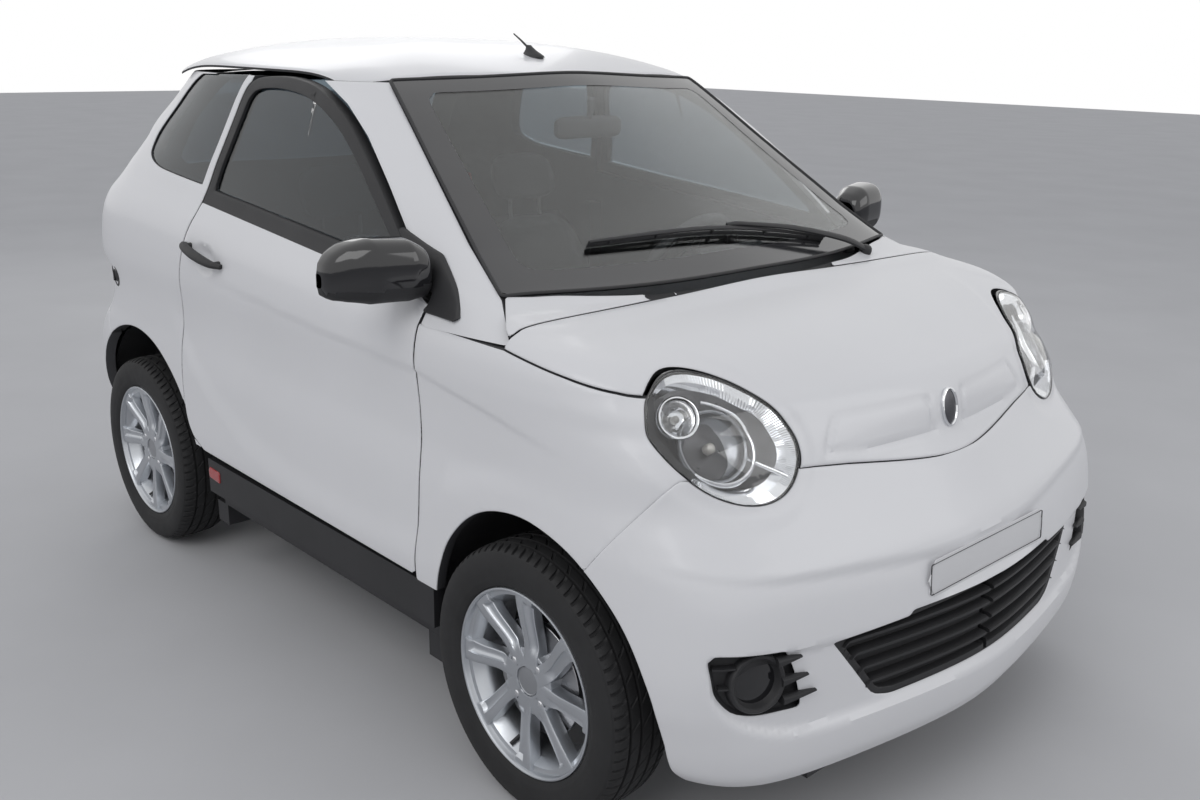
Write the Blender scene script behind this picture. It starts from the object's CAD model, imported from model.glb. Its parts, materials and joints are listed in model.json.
import json
import math
import bpy
import bmesh
import numpy as np
from mathutils import Vector, Matrix


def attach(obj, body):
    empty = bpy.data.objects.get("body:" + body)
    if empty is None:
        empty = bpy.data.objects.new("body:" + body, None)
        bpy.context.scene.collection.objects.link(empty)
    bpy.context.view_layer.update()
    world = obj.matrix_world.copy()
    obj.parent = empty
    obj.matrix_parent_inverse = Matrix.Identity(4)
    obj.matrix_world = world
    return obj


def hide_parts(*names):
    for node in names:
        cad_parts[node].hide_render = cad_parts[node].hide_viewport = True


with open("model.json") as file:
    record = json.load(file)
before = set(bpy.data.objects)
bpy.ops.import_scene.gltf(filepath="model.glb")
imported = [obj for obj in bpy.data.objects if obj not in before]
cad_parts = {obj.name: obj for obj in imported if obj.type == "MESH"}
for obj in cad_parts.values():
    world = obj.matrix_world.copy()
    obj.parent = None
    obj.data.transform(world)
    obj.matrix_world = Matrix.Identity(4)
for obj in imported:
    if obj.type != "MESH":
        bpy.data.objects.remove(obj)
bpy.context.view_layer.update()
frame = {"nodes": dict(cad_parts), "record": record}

nodes = frame["nodes"]
MM = 0.001

# Materials


def link(tree, a, b):
    tree.links.new(a, b)


def material(name, colour, rough=0.5, metal=0.0, coat=0.0, tone=0.0, tone_scale=4.0,
             grain=0.0, grain_scale=900.0, rough_noise=0.0, transmission=0.0, sheen=0.0,
             weave=0.0, weave_scale=600.0):
    """Procedural material: a base colour with slow tone changes, fine grain as bump and uneven gloss."""
    m = bpy.data.materials.new(name)
    m.use_nodes = True
    t = m.node_tree
    p = t.nodes["Principled BSDF"]
    for key, value in (("Base Color", (*colour, 1)), ("Roughness", rough), ("Metallic", metal),
                       ("Coat Weight", coat), ("Coat Roughness", 0.08), ("Specular IOR Level", 0.5),
                       ("Transmission Weight", transmission), ("IOR", 1.45), ("Sheen Weight", sheen)):
        p.inputs[key].default_value = value
    coords = t.nodes.new("ShaderNodeTexCoord")

    def pattern(kind, scale, **inputs):
        n = t.nodes.new(kind)
        n.inputs["Scale"].default_value = scale
        for key, value in inputs.items():
            n.inputs[key].default_value = value
        link(t, coords.outputs["Object"], n.inputs["Vector"])
        return n

    if tone > 0:
        n = pattern("ShaderNodeTexNoise", tone_scale, Detail=5)
        ramp = t.nodes.new("ShaderNodeValToRGB")
        for stop, place, change in zip(ramp.color_ramp.elements, (0.3, 0.7), (1 - tone, 1 + tone)):
            stop.position = place
            stop.color = (*[min(1.0, max(0.0, c * change)) for c in colour], 1)
        link(t, n.outputs["Fac"], ramp.inputs["Fac"])
        link(t, ramp.outputs["Color"], p.inputs["Base Color"])
    if rough_noise > 0:
        n = pattern("ShaderNodeTexNoise", tone_scale * 2.5, Detail=4)
        span = t.nodes.new("ShaderNodeMapRange")
        span.inputs["To Min"].default_value = max(0.02, rough - rough_noise)
        span.inputs["To Max"].default_value = rough + rough_noise
        link(t, n.outputs["Fac"], span.inputs["Value"])
        link(t, span.outputs["Result"], p.inputs["Roughness"])
    height = None
    if grain > 0:
        height = pattern("ShaderNodeTexNoise", grain_scale, Detail=3).outputs["Fac"]
        strength = grain
    if weave > 0:
        add = t.nodes.new("ShaderNodeMath")
        add.operation = "ADD"
        for k, axis in enumerate(("X", "Z")):
            w = pattern("ShaderNodeTexWave", weave_scale, Distortion=0.6)
            w.bands_direction = axis
            link(t, w.outputs["Fac"], add.inputs[k])
        height = add.outputs["Value"]
        strength = weave
    if height is not None:
        b = t.nodes.new("ShaderNodeBump")
        b.inputs["Strength"].default_value = strength
        b.inputs["Distance"].default_value = 0.0006
        link(t, height, b.inputs["Height"])
        link(t, b.outputs["Normal"], p.inputs["Normal"])
    return m


M = {
    "inner": material("panel_inner", (0.03, 0.03, 0.033), 0.7, tone=0.1, grain=0.4, grain_scale=900,
                      rough_noise=0.05),
    "paint": material("body_white", (0.80, 0.80, 0.815), 0.36, coat=0.2, tone=0.012, tone_scale=3, grain=0.05,
                      grain_scale=350, rough_noise=0.03),
    "gloss_black": material("gloss_black", (0.012, 0.012, 0.014), 0.1, coat=0.6, tone=0.1, rough_noise=0.03),
    "black": material("black_plastic", (0.022, 0.022, 0.024), 0.55, tone=0.12, grain=0.35, grain_scale=1400,
                      rough_noise=0.06),
    "trim": material("cabin_plastic", (0.045, 0.045, 0.05), 0.6, tone=0.08, grain=0.5, grain_scale=1100,
                     rough_noise=0.05),
    "cloth": material("seat_cloth", (0.035, 0.036, 0.042), 0.9, tone=0.15, tone_scale=8, sheen=0.3,
                      weave=0.6),
    "frame": material("frame_metal", (0.045, 0.045, 0.048), 0.5, metal=0.5, tone=0.12, rough_noise=0.1,
                      grain=0.2),
    "floor": material("floor_panel", (0.09, 0.092, 0.095), 0.7, metal=0.2, tone=0.15, rough_noise=0.1,
                      grain=0.4, grain_scale=500),
    "engine": material("engine_metal", (0.16, 0.16, 0.165), 0.55, metal=0.7, tone=0.2, rough_noise=0.12,
                       grain=0.4, grain_scale=300),
    "steel": material("steel_parts", (0.22, 0.22, 0.225), 0.45, metal=0.9, tone=0.18, rough_noise=0.12,
                      grain=0.3),
    "disc": material("brake_steel", (0.33, 0.33, 0.34), 0.32, metal=1.0, tone=0.15, tone_scale=18,
                     rough_noise=0.1),
    "glass": material("clear_glass", (0.90, 0.935, 0.93), 0.02, transmission=1.0, tone=0.004),
    "tint": material("tinted_glass", (0.16, 0.20, 0.23), 0.02, transmission=1.0, tone=0.02),
    "lens": material("lens_clear", (0.97, 0.975, 0.98), 0.02, transmission=1.0, tone=0.004),
    "chrome": material("lamp_chrome", (0.74, 0.75, 0.77), 0.09, metal=1.0, tone=0.03, rough_noise=0.03),
    "bowl": material("lamp_bowl", (0.30, 0.31, 0.33), 0.25, metal=0.85, tone=0.08, rough_noise=0.05),
    "red": material("lens_red", (0.42, 0.012, 0.012), 0.08, coat=0.8, tone=0.06),
    "tyre": material("tyre_rubber", (0.016, 0.016, 0.017), 0.72, tone=0.2, tone_scale=14, grain=0.3,
                     grain_scale=700, rough_noise=0.08),
    "alloy": material("silver_alloy", (0.50, 0.52, 0.55), 0.3, metal=0.85, coat=0.3, tone=0.04, grain=0.12,
                      grain_scale=1600, rough_noise=0.05),
    "frit": material("screen_border", (0.035, 0.035, 0.038), 0.12, coat=0.5, tone=0.1, rough_noise=0.02),
    "bowl_dark": material("lamp_housing", (0.075, 0.075, 0.08), 0.3, metal=0.6, tone=0.2, tone_scale=30,
                          rough_noise=0.08),
    "bulb": material("lamp_bulb", (0.62, 0.60, 0.56), 0.15, metal=0.2, coat=0.5, tone=0.05),
    "chrome_dark": material("badge_field", (0.10, 0.10, 0.11), 0.25, metal=0.8, tone=0.1, rough_noise=0.05),
    "alloy_cap": material("silver_cap", (0.36, 0.37, 0.39), 0.38, metal=0.8, tone=0.05, grain=0.1,
                          grain_scale=1600, rough_noise=0.05),
    "plate": material("plate_white", (0.74, 0.74, 0.75), 0.35, coat=0.3, tone=0.02, rough_noise=0.05),
}
SLOT_MATERIALS = {
    "paint_white": "paint", "gloss_black": "gloss_black", "black_plastic": "black", "dark_trim": "trim",
    "seat_fabric": "cloth", "frame_metal": "frame", "floor_panel": "floor", "engine_metal": "engine",
    "steel_parts": "steel", "clear_glass": "glass", "tinted_glass": "tint", "lens_clear": "lens",
    "emblem_chrome": "chrome", "lamp_chrome": "chrome", "lens_red": "red", "tyre_rubber": "tyre",
    "alloy": "alloy",
}
SLOTS = {look: slot for slot, look in SLOT_MATERIALS.items()}
SLOTS.update(frit="black_plastic", bowl="lamp_chrome", bowl_dark="lamp_chrome", bulb="lamp_chrome",
             disc="steel_parts", alloy_cap="alloy", chrome_dark="emblem_chrome", plate="paint_white")
slot_of = {entry["node"]: entry["material_slot"] for entry in frame["record"]["subparts"]}
for n, obj in nodes.items():
    obj.data.materials.clear()
    obj.data.materials.append(M[SLOT_MATERIALS.get(slot_of.get(n, ""), "black")])

# Body surface, millimetres, the same rows as the solids: height, half width, front x, rear x,
# squareness of the front and rear corners, and how far the corners fall back
ROWS = np.array([
    (190, 680, 1345, -1325, 10, 10, 130, 50), (240, 712, 1370, -1362, 12, 12, 140, 45),
    (310, 730, 1379, -1378, 13, 14, 150, 40), (375, 743, 1379, -1379, 14, 14, 155, 38),
    (430, 747, 1378, -1379, 14, 14, 155, 36), (520, 745, 1366, -1377, 13, 14, 145, 34),
    (600, 744, 1337, -1370, 12, 14, 128, 36), (650, 741, 1304, -1346, 12, 14, 140, 50),
    (700, 738, 1272, -1318, 12, 13, 155, 70), (760, 739, 1234, -1303, 12, 12, 132, 80),
    (800, 742, 1225, -1299, 12, 12, 155, 75), (835, 746, 1212, -1297, 12, 13, 180, 60),
    (862, 748, 1190, -1296, 12, 14, 170, 50), (884, 747, 1148, -1293, 12, 14, 140, 46),
    (905, 744, 1090, -1290, 12, 14, 85, 48), (925, 739, 1020, -1286, 12, 13, 35, 50),
    (945, 729, 915, -1280, 13, 11, -10, 56), (962, 716, 790, -1272, 14, 9, -20, 62),
    (980, 704, 746, -1262, 16, 8, 90, 66), (1010, 693, 690, -1248, 16, 7, 105, 70),
    (1080, 677, 570, -1216, 15, 6, 108, 70), (1160, 656, 438, -1178, 14, 6, 112, 70),
    (1240, 635, 320, -1134, 12, 6, 116, 70), (1320, 613, 212, -1082, 10, 6, 120, 70),
    (1370, 592, 142, -1044, 9, 6, 124, 66), (1400, 562, 92, -1016, 7, 5.5, 124, 60),
    (1425, 505, 20, -975, 5, 4.5, 110, 50), (1445, 425, -70, -925, 4, 4, 90, 40),
    (1460, 320, -180, -850, 3.2, 3.2, 60, 30), (1470, 180, -300, -740, 2.6, 2.6, 30, 20),
    (1475, 0, -420, -620, 2.4, 2.4, 0, 0)], float)
TOP_Z = 1475.0
MID_X = -100.0
LEVELS = -np.sqrt(np.maximum(TOP_Z - ROWS[:, 0], 0))


def slopes(xs, ys):
    """Slopes at the table's heights that never overshoot between them."""
    d = np.diff(ys) / np.diff(xs)
    m = np.zeros(len(xs))
    m[0], m[-1] = d[0], d[-1]
    for i in range(1, len(xs) - 1):
        if d[i - 1] * d[i] > 0:
            a, b = xs[i] - xs[i - 1], xs[i + 1] - xs[i]
            m[i] = (3 * a + 3 * b) / ((2 * b + a) / d[i - 1] + (b + 2 * a) / d[i])
    return m


SLOPES = [slopes(LEVELS, ROWS[:, k]) for k in range(8)]
NOSE, TAIL = 0.0001, 179.9999


def row(h):
    """The row of sizes at a height, by cubic pieces through the table."""
    g = np.clip(-np.sqrt(np.maximum(TOP_Z - h, 0)), LEVELS[0], LEVELS[-1])
    i = np.clip(np.searchsorted(LEVELS, g, side="right") - 1, 0, len(LEVELS) - 2)
    span = LEVELS[i + 1] - LEVELS[i]
    t = (g - LEVELS[i]) / span
    a, b = 2 * t ** 3 - 3 * t * t + 1, (t ** 3 - 2 * t * t + t) * span
    c, d = 3 * t * t - 2 * t ** 3, (t ** 3 - t * t) * span
    return [a * ROWS[i, k] + b * SLOPES[k][i] + c * ROWS[i + 1, k] + d * SLOPES[k][i + 1] for k in range(1,
        8)]


def belt(x, h):
    """How far the belt line and all above it climbs towards the rear."""
    rise = 0.09 * np.clip(500 - x, 0, 1500)
    r = np.clip(np.where(h < 1000, (h - 850) / 150.0, (1400 - h) / 400.0), 0, 1)
    return rise * r * r * (3 - 2 * r)


def skin(angle, h, depth=0.0, drop=0.0):
    """Points of the right half of the body: 0 degrees is the nose, 180 the tail."""
    angle = np.asarray(angle, float)
    h = np.asarray(h, float)
    w, xf, xr, nf, nr, bf, br = row(h)
    c, s = np.cos(np.radians(angle)), np.sin(np.radians(angle))
    front = c >= 0
    n = np.where(front, nf, nr)
    rho = (np.abs(c) ** n + np.abs(s) ** n) ** (-1.0 / n)
    u = rho * s
    reach = np.where(front, xf - depth - MID_X, MID_X - xr - depth)
    bow = np.where(front, bf, -br)
    near = np.minimum(np.abs(c) / 0.2, 1.0)
    share = np.where(near < 1, 0.617 * (1.7 * near - 0.7 * near * near), np.abs(c) ** 0.3)
    k = ((u * u + 0.0144) ** 0.75 - 0.0416) * share
    x = MID_X + reach * rho * c - bow * k
    return np.stack([x, -(w - depth) * u, h + belt(x, h) - drop], -1)


def width_at(x, h):
    """Half width of the body at a place along it, before the belt line's climb."""
    lo, hi = np.full(np.shape(h), NOSE), np.full(np.shape(h), TAIL)
    for k in range(26):
        mid = (lo + hi) / 2
        right = skin(mid, h)[..., 0] > x
        lo, hi = np.where(right, mid, lo), np.where(right, hi, mid)
    w = -skin(lo, h)[..., 1]
    out = (x >= skin(NOSE + 0 * h, h)[..., 0]) | (x <= skin(TAIL + 0 * h, h)[..., 0])
    return np.where(out, 0.0, w)


def side_y(x, z):
    """Half width of the body at a place along it and a height."""
    x, z = np.broadcast_arrays(np.asarray(x, float), np.asarray(z, float))
    lo, hi = z - 160.0, z.copy()
    for k in range(20):
        mid = (lo + hi) / 2
        low = mid + belt(x, mid) < z
        lo, hi = np.where(low, mid, lo), np.where(low, hi, mid)
    return width_at(x, hi)


def top_z(x, y):
    """Height of the body over a point of the ground."""
    x, y = np.broadcast_arrays(np.asarray(x, float), np.asarray(y, float))
    lo, hi = np.full(x.shape, 960.0), np.full(x.shape, TOP_Z)
    for k in range(18):
        mid = (lo + hi) / 2
        ok = width_at(x, mid) >= np.maximum(np.abs(y), 0.6)
        lo, hi = np.where(ok, mid, lo), np.where(ok, hi, mid)
    return lo + belt(x, lo)


def even(curve, low, high, step):
    """Values between low and high at which a curve has even steps."""
    fine = np.linspace(low, high, 800)
    p = curve(fine)
    run = np.concatenate([[0], np.cumsum(np.linalg.norm(np.diff(p, axis=0), axis=1))])
    count = max(3, int(round(run[-1] / step)))
    return np.interp(np.linspace(0, run[-1], count + 1), run, fine)


LINE_STEP = 12


def smooth(runs, per=8):
    """Points along an outline of runs: two points make a line, more make a smooth curve."""
    out = []
    for r in runs:
        r = np.array(r, float)
        if len(r) == 2:
            n = max(1, int(np.linalg.norm(r[1] - r[0]) / LINE_STEP))
            out += [r[0] + (r[1] - r[0]) * k / n for k in range(n)]
            continue
        ring = np.allclose(r[0], r[-1])
        ext = np.vstack([r[-2] if ring else 2 * r[0] - r[1], r, r[1] if ring else 2 * r[-1] - r[-2]])
        for i in range(1, len(ext) - 2):
            p0, p1, p2, p3 = ext[i - 1:i + 3]
            for k in range(per):
                t = k / per
                out.append(0.5 * (2 * p1 + (p2 - p0) * t + (2 * p0 - 5 * p1 + 4 * p2 - p3) * t * t
                                  + (3 * p1 - p0 - 3 * p2 + p3) * t ** 3))
    return np.array(out)


def lines(points):
    return [[points[i], points[(i + 1) % len(points)]] for i in range(len(points))]


def inside(outline, pts):
    """Distance of points into an outline, negative outside."""
    best = np.full(len(pts), 1e9)
    wind = np.zeros(len(pts), bool)
    for p, q in zip(outline, np.roll(outline, -1, 0)):
        e = q - p
        le = e @ e
        if le < 1e-9:
            continue
        d = pts - p
        t = np.clip(d @ e / le, 0, 1)
        best = np.minimum(best, np.linalg.norm(d - t[:, None] * e, axis=1))
        cross = (p[1] > pts[:, 1]) != (q[1] > pts[:, 1])
        with np.errstate(divide="ignore", invalid="ignore"):
            xs = p[0] + (pts[:, 1] - p[1]) * e[0] / (e[1] if abs(e[1]) > 1e-12 else 1e-12)
        wind ^= cross & (pts[:, 0] < xs)
    return np.where(wind, best, -best)


SIDE, FRONT, TOP = (0, 2), (1, 2), (0, 1)


def zone(runs, view, grow=0.0):
    """A rule for carve: keeps the inside of an outline seen from the side, the front or the top."""
    outline = smooth(runs)
    return lambda p: inside(outline, p[:, view]) + grow


def cut_away(runs, view, grow=0.0, when=None):
    """A rule that leaves out the inside of an outline, made larger by grow."""
    outline = smooth(runs)

    def rule(p):
        d = -inside(outline, p[:, view]) - grow
        return d if when is None else np.where(when(p), d, 1e3)
    return rule


def grid(us, vs):
    """Triangles over a grid of two values, with diagonals in turn."""
    uu, vv = np.meshgrid(us, vs)
    q = np.stack([uu.ravel(), vv.ravel()], 1)
    n = len(us)
    tris = []
    for j in range(len(vs) - 1):
        for i in range(n - 1):
            a, b, c, d = j * n + i, j * n + i + 1, (j + 1) * n + i + 1, (j + 1) * n + i
            tris += [(a, c, b), (a, d, c)] if (i + j) % 2 else [(a, d, b), (b, d, c)]
    return q, np.array(tris)


SNAP = 0.28


def split(q, f, tris, values, keep_both):
    """Cuts triangles along values = 0; keeps the positive side, or both.

    Corners near the line move onto it. f holds the distances of all rules so far, and corners that
    already lie on a panel's edge stay where they are."""
    values, q, f = values.copy(), q.copy(), f.copy()
    edges = np.concatenate([tris[:, [0, 1]], tris[:, [1, 2]], tris[:, [2, 0]]])
    edges = np.unique(np.sort(edges, 1), axis=0)
    va, vb = values[edges[:, 0]], values[edges[:, 1]]
    cross = va * vb < 0
    e, va, vb = edges[cross], va[cross], vb[cross]
    t = va / (va - vb)
    best = {}
    held = np.min(np.abs(f), 1) < 0.02 if keep_both else np.zeros(len(q), bool)
    for (a, b), s in zip(e, t):
        if s < SNAP and s < best.get(a, (1, 0))[0] and not held[a]:
            best[a] = (s, b)
        if 1 - s < SNAP and 1 - s < best.get(b, (1, 0))[0] and not held[b]:
            best[b] = (1 - s, a)
    q0, f0 = q.copy(), f.copy()
    for a, (s, b) in best.items():
        q[a] = q0[a] + (q0[b] - q0[a]) * s
        f[a] = f0[a] + (f0[b] - f0[a]) * s
        values[a] = 0.0
    sign = np.sign(np.where(np.abs(values) < 1e-6, 0, values)).astype(int)
    s3 = sign[tris]
    keep = list(map(tuple, tris[(s3.min(1) >= 0) & (s3.max(1) > 0)]))
    if keep_both:
        keep += list(map(tuple, tris[(s3.max(1) <= 0)]))
    mixed = tris[(s3.min(1) < 0) & (s3.max(1) > 0)]
    new_q, new_f, made = [], [], {}
    n = len(q)

    def point(a, b):
        key = (min(a, b), max(a, b))
        if key not in made:
            k = values[a] / (values[a] - values[b])
            made[key] = n + len(new_q)
            new_q.append(q[a] + (q[b] - q[a]) * k)
            new_f.append(f[a] + (f[b] - f[a]) * k)
        return made[key]

    for tri in mixed:
        s = [sign[v] for v in tri]
        for k in range(3):
            a, b, c = tri[k], tri[(k + 1) % 3], tri[(k + 2) % 3]
            sa, sb, sc = s[k], s[(k + 1) % 3], s[(k + 2) % 3]
            if sa != 0 and sb == -sa and sc == -sa:
                ab, ac = point(a, b), point(a, c)
                if sa > 0:
                    keep.append((a, ab, ac))
                    if keep_both:
                        keep += [(ab, b, c), (ab, c, ac)]
                else:
                    keep += [(ab, b, c), (ab, c, ac)]
                    if keep_both:
                        keep.append((a, ab, ac))
                break
            if sa == 0 and sb == -sc:
                bc = point(b, c)
                if sb > 0 or keep_both:
                    keep.append((a, b, bc))
                if sc > 0 or keep_both:
                    keep.append((a, bc, c))
                break
    if new_q:
        q = np.vstack([q, new_q])
        f = np.vstack([f, new_f])
    return q, f, np.array(keep)


def trimmed(us, vs, place, rules, round_by, second):
    """Grid cut by rules and ringed near its edge, with how far each corner sinks for a round edge."""
    q, tris = grid(us, vs)
    f = np.zeros((len(q), 0))
    for rule in rules:
        values = rule(place(q))
        q, f, tris = split(q, np.hstack([f, values[:, None]]), tris, values, False)
        used = np.unique(tris)
        remap = -np.ones(len(q), int)
        remap[used] = np.arange(len(used))
        q, f, tris = q[used], f[used], remap[tris]

    def from_edge():
        p = place(q)
        return np.min(np.stack([rule(p) for rule in rules], 1), 1)

    for ring in (round_by, round_by * second):
        q, f, tris = split(q, f, tris, from_edge() - ring, True)
    d = np.clip(from_edge(), 0, round_by)
    return q, tris, round_by - np.sqrt(np.maximum(round_by ** 2 - (round_by - d) ** 2, 0))


def carve(us, vs, place, rules, round_by=2.5, inner=None, bumps=None):
    """Panel cut from a surface place(q) by rules, with rounded edges and an inner face."""
    q, tris, sink = trimmed(us, vs, place, rules, round_by, 0.3)
    p = place(q)
    under = inner(p, q)
    if bumps is not None:
        p = bumps(p)
    way = under - p
    p = p + way / np.linalg.norm(way, axis=1)[:, None] * sink[:, None]
    return p, under, tris


def edges_of(tris):
    """Boundary edges in the order of their triangles."""
    found = {edge: True for t in tris for edge in ((t[0], t[1]), (t[1], t[2]), (t[2], t[0]))}
    return [(a, b) for a, b in found if (b, a) not in found]


def add_object(name, data):
    o = bpy.data.objects.new(name, data)
    bpy.context.scene.collection.objects.link(o)
    return o


def mesh_object(name, verts, faces, look, body, replaces=(), sharp=40.0, hidden=None):
    """Piece on a body, from points in millimetres; hidden says which faces are a panel's inner ones."""
    m = bpy.data.meshes.new(name)
    m.from_pydata([tuple(np.array(v) * MM) for v in verts], [], [tuple(int(i) for i in f) for f in faces])
    if hidden is not None:
        m.polygons.foreach_set("material_index", [int(k) for k in hidden])
    m.update()
    bm = bmesh.new()
    bm.from_mesh(m)
    bmesh.ops.remove_doubles(bm, verts=bm.verts, dist=1e-6)
    bmesh.ops.dissolve_degenerate(bm, dist=1e-6, edges=bm.edges)
    bm.normal_update()
    for e in bm.edges:
        if len(e.link_faces) == 2 and e.calc_face_angle(0) > math.radians(sharp):
            e.smooth = False
    for face in bm.faces:
        face.smooth = True
    bm.to_mesh(m)
    bm.free()
    o = add_object(name, m)
    o.data.materials.append(M[look])
    if hidden is not None:
        o.data.materials.append(M["inner"])
    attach(o, body)
    if replaces:
        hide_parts(*replaces)
    return o


def shell(pieces, name, look, body, replaces=(), side="both"):
    """One object from carved panels, on the right, the left or both sides; on both, edges on the
    centre line join."""
    verts, faces, hidden = [], [], []
    for p, under, tris in pieces:
        n = len(p)
        rim = [(a, b) for a, b in edges_of(tris) if not (abs(p[a][1]) < 0.01 and abs(p[b][1]) < 0.01)]
        for turn in {"right": (1,), "left": (-1,), "both": (1, -1)}[side]:
            base = len(verts)
            flip = np.array([1, turn, 1])
            verts += list(p * flip) + list(under * flip)
            order = (0, 1, 2) if turn > 0 else (0, 2, 1)
            for t in tris:
                a, b, c = t[order[0]], t[order[1]], t[order[2]]
                faces.append((base + a, base + b, base + c))
                faces.append((base + n + a, base + n + c, base + n + b))
                hidden += [0, 1]
            for a, b in rim:
                if turn < 0:
                    a, b = b, a
                faces.append((base + b, base + a, base + n + a, base + n + b))
                hidden.append(1)
    return mesh_object(name, verts, faces, look, body, replaces, hidden=hidden if look == "paint" else None)


def facing_out(tris, p, under):
    """The triangles, turned round if they face the under side."""
    t = tris[len(tris) // 2]
    normal = np.cross(p[t[1]] - p[t[0]], p[t[2]] - p[t[0]])
    return tris[:, ::-1] if normal @ (under[t[0]] - p[t[0]]) > 0 else tris


def sheet_grid(outer, inner):
    """Closed solid between two grids of points, as a panel for shell."""
    r, c = outer.shape[:2]
    tris = []
    for i in range(r - 1):
        for j in range(c - 1):
            a, b, d, e = i * c + j, i * c + j + 1, (i + 1) * c + j + 1, (i + 1) * c + j
            tris += [(a, b, d), (a, d, e)]
    p, under = outer.reshape(-1, 3), inner.reshape(-1, 3)
    return p, under, facing_out(np.array(tris), p, under)


# Outlines, seen from the side where no comment says otherwise
GAP = 4.0  # between a moving panel and its neighbours
SEAM = 1.0  # between fixed panels
DOOR = [
    [(476, 985), (470, 800), (464, 625), (458, 500), (452, 386)],
    [(452, 386), (-540, 398)],
    [(-540, 398), (-600, 430), (-634, 490), (-640, 590), (-632, 713), (-606, 830), (-577, 937), (-530, 1034)],
    [(-530, 1034), (-508, 1090)],
    [(-508, 1090), (-478, 1180), (-452, 1288), (-430, 1352), (-380, 1374), (-250, 1378), (-110, 1360),
     (20, 1314), (120, 1253), (240, 1163), (350, 1070), (430, 1000), (450, 985)],
    [(450, 985), (476, 985)],
]
DOOR_GLASS = [
    [(366, 1022), (-474, 1096)],
    [(-474, 1096), (-448, 1180), (-424, 1276), (-404, 1328), (-360, 1347), (-250, 1350), (-120, 1333),
     (0, 1290), (100, 1232), (220, 1142), (320, 1061), (366, 1022)],
]
QUARTER_GLASS = [
    [(-540, 1104), (-508, 1190), (-484, 1290), (-466, 1350), (-455, 1378)],
    [(-455, 1378), (-740, 1372)],
    [(-740, 1372), (-800, 1330), (-880, 1230), (-905, 1180), (-890, 1150), (-820, 1128), (-700, 1116),
     (-540, 1104)],
]
FRONT_ARCH = [
    [(526, 372), (546, 440), (575, 505), (635, 570), (709, 610), (802, 625), (895, 611), (972, 578),
     (1050, 520), (1103, 455), (1136, 380), (1148, 293)],
    [(1148, 293), (1148, 120)], [(1148, 120), (526, 120)], [(526, 120), (526, 372)],
]
REAR_ARCH = [[(-948 + 375 * math.cos(math.radians(a)), 288 + 375 * math.sin(math.radians(a)))
              for a in range(0, 181, 12)],
             [(-1323, 288), (-1323, 80)], [(-1323, 80), (-573, 80)], [(-573, 80), (-573, 288)]]
BUMPER_TOP = [(1400, 714), (1262, 714), (1210, 742), (1160, 765), (1112, 764), (1043, 667), (976, 579),
              (900, 500), (900, 150), (1400, 150)]
BUMPER_SEAM = [(-900, 300), (-1100, 560), (-1146, 618), (-1180, 668), (-1420, 690), (-1420, 300)]
HOOD_LINE = [(742, 1100), (742, 936), (900, 915), (1040, 892), (1100, 850), (1160, 768), (1210, 745),
             (1262, 716), (1400, 716), (1400, 1100)]
# Tailgate, its window and the tail lamp, seen from behind
GATE_HALF = [(690, 556), (800, 575), (900, 582), (1000, 566), (1100, 545), (1200, 520), (1300, 492)]
GATE = lines([(30, 694)] + [(-y, z) for z, y in GATE_HALF] + [(-462, 1361), (-400, 1366), (-300, 1371),
                                                             (30, 1372)])
WINDOW = lines([(30, 1080), (-440, 1086), (-470, 1110), (-440, 1240), (-405, 1322), (-380, 1340), (30, 1346)])
TAIL_LAMP = [[(-604, 770), (-596, 850), (-598, 930), (-612, 985), (-650, 1000), (-690, 985), (-704, 930),
              (-704, 850), (-690, 780), (-650, 756), (-604, 770)]]


def rounded(points, radius=12.0, count=5):
    """Outline of straight sides with round corners."""
    pts = np.array(points, float)
    out = []
    for i in range(len(pts)):
        a, b, c = pts[i - 1], pts[i], pts[(i + 1) % len(pts)]
        u, v = a - b, c - b
        lu, lv = np.linalg.norm(u), np.linalg.norm(v)
        r = min(radius, lu * 0.45, lv * 0.45)
        p, q = b + u / lu * r, b + v / lv * r
        for k in range(count + 1):
            t = k / count
            out.append(tuple((1 - t) ** 2 * p + 2 * t * (1 - t) * b + t * t * q))
    return lines(out)


# Openings of the front bumper, seen from the front
GRILLE = rounded([(60, 484), (-252, 482), (-262, 472), (-441, 466), (-334, 330), (-290, 318), (60, 320)], 14)
FOG = rounded([(-679, 489), (-545, 479), (-524, 440), (-502, 356), (-600, 362), (-640, 374), (-668, 410)], 16)
DUCT = smooth(rounded([(60, 486), (-262, 476), (-444, 473), (-556, 482), (-688, 494), (-680, 400),
                       (-640, 350), (-590, 326), (-520, 306), (-400, 300), (-300, 300), (-200, 300),
                       (60, 302)], 30), 1)
PLATE_HOLE = rounded([(60, 579), (-246, 579), (-250, 484), (60, 484)], 6)

# Headlamp: middle, half sizes and lean of its oval, seen from the front
LAMP_Y, LAMP_Z, LAMP_LONG, LAMP_SHORT = 537, 815, 134, 101
LAMP_TILT = math.radians(24)


def lamp_xy(u, v):
    """Front view place of a point given along the lamp's long and short axes."""
    c, s = math.cos(LAMP_TILT), math.sin(LAMP_TILT)
    return -(LAMP_Y + u * c - v * s), LAMP_Z + u * s + v * c


def lamp_oval(scale=1.0, count=48):
    """The headlamp's outline seen from the front."""
    a = np.linspace(0, 2 * math.pi, count + 1)
    u, v = LAMP_LONG * np.cos(a) * scale, LAMP_SHORT * np.sin(a) * scale
    return [list(zip(*lamp_xy(u, v)))]


def turns(count):
    """Angles once round, in even steps."""
    return np.linspace(0, 2 * math.pi, count, endpoint=False)


def round_line(radius, count, x=0.0, y=0.0):
    """Circle as a closed outline."""
    around = np.linspace(0, 2 * math.pi, count)
    return [[(x + radius * math.cos(t), y + radius * math.sin(t)) for t in around]]


STEP = 10.4


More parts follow.
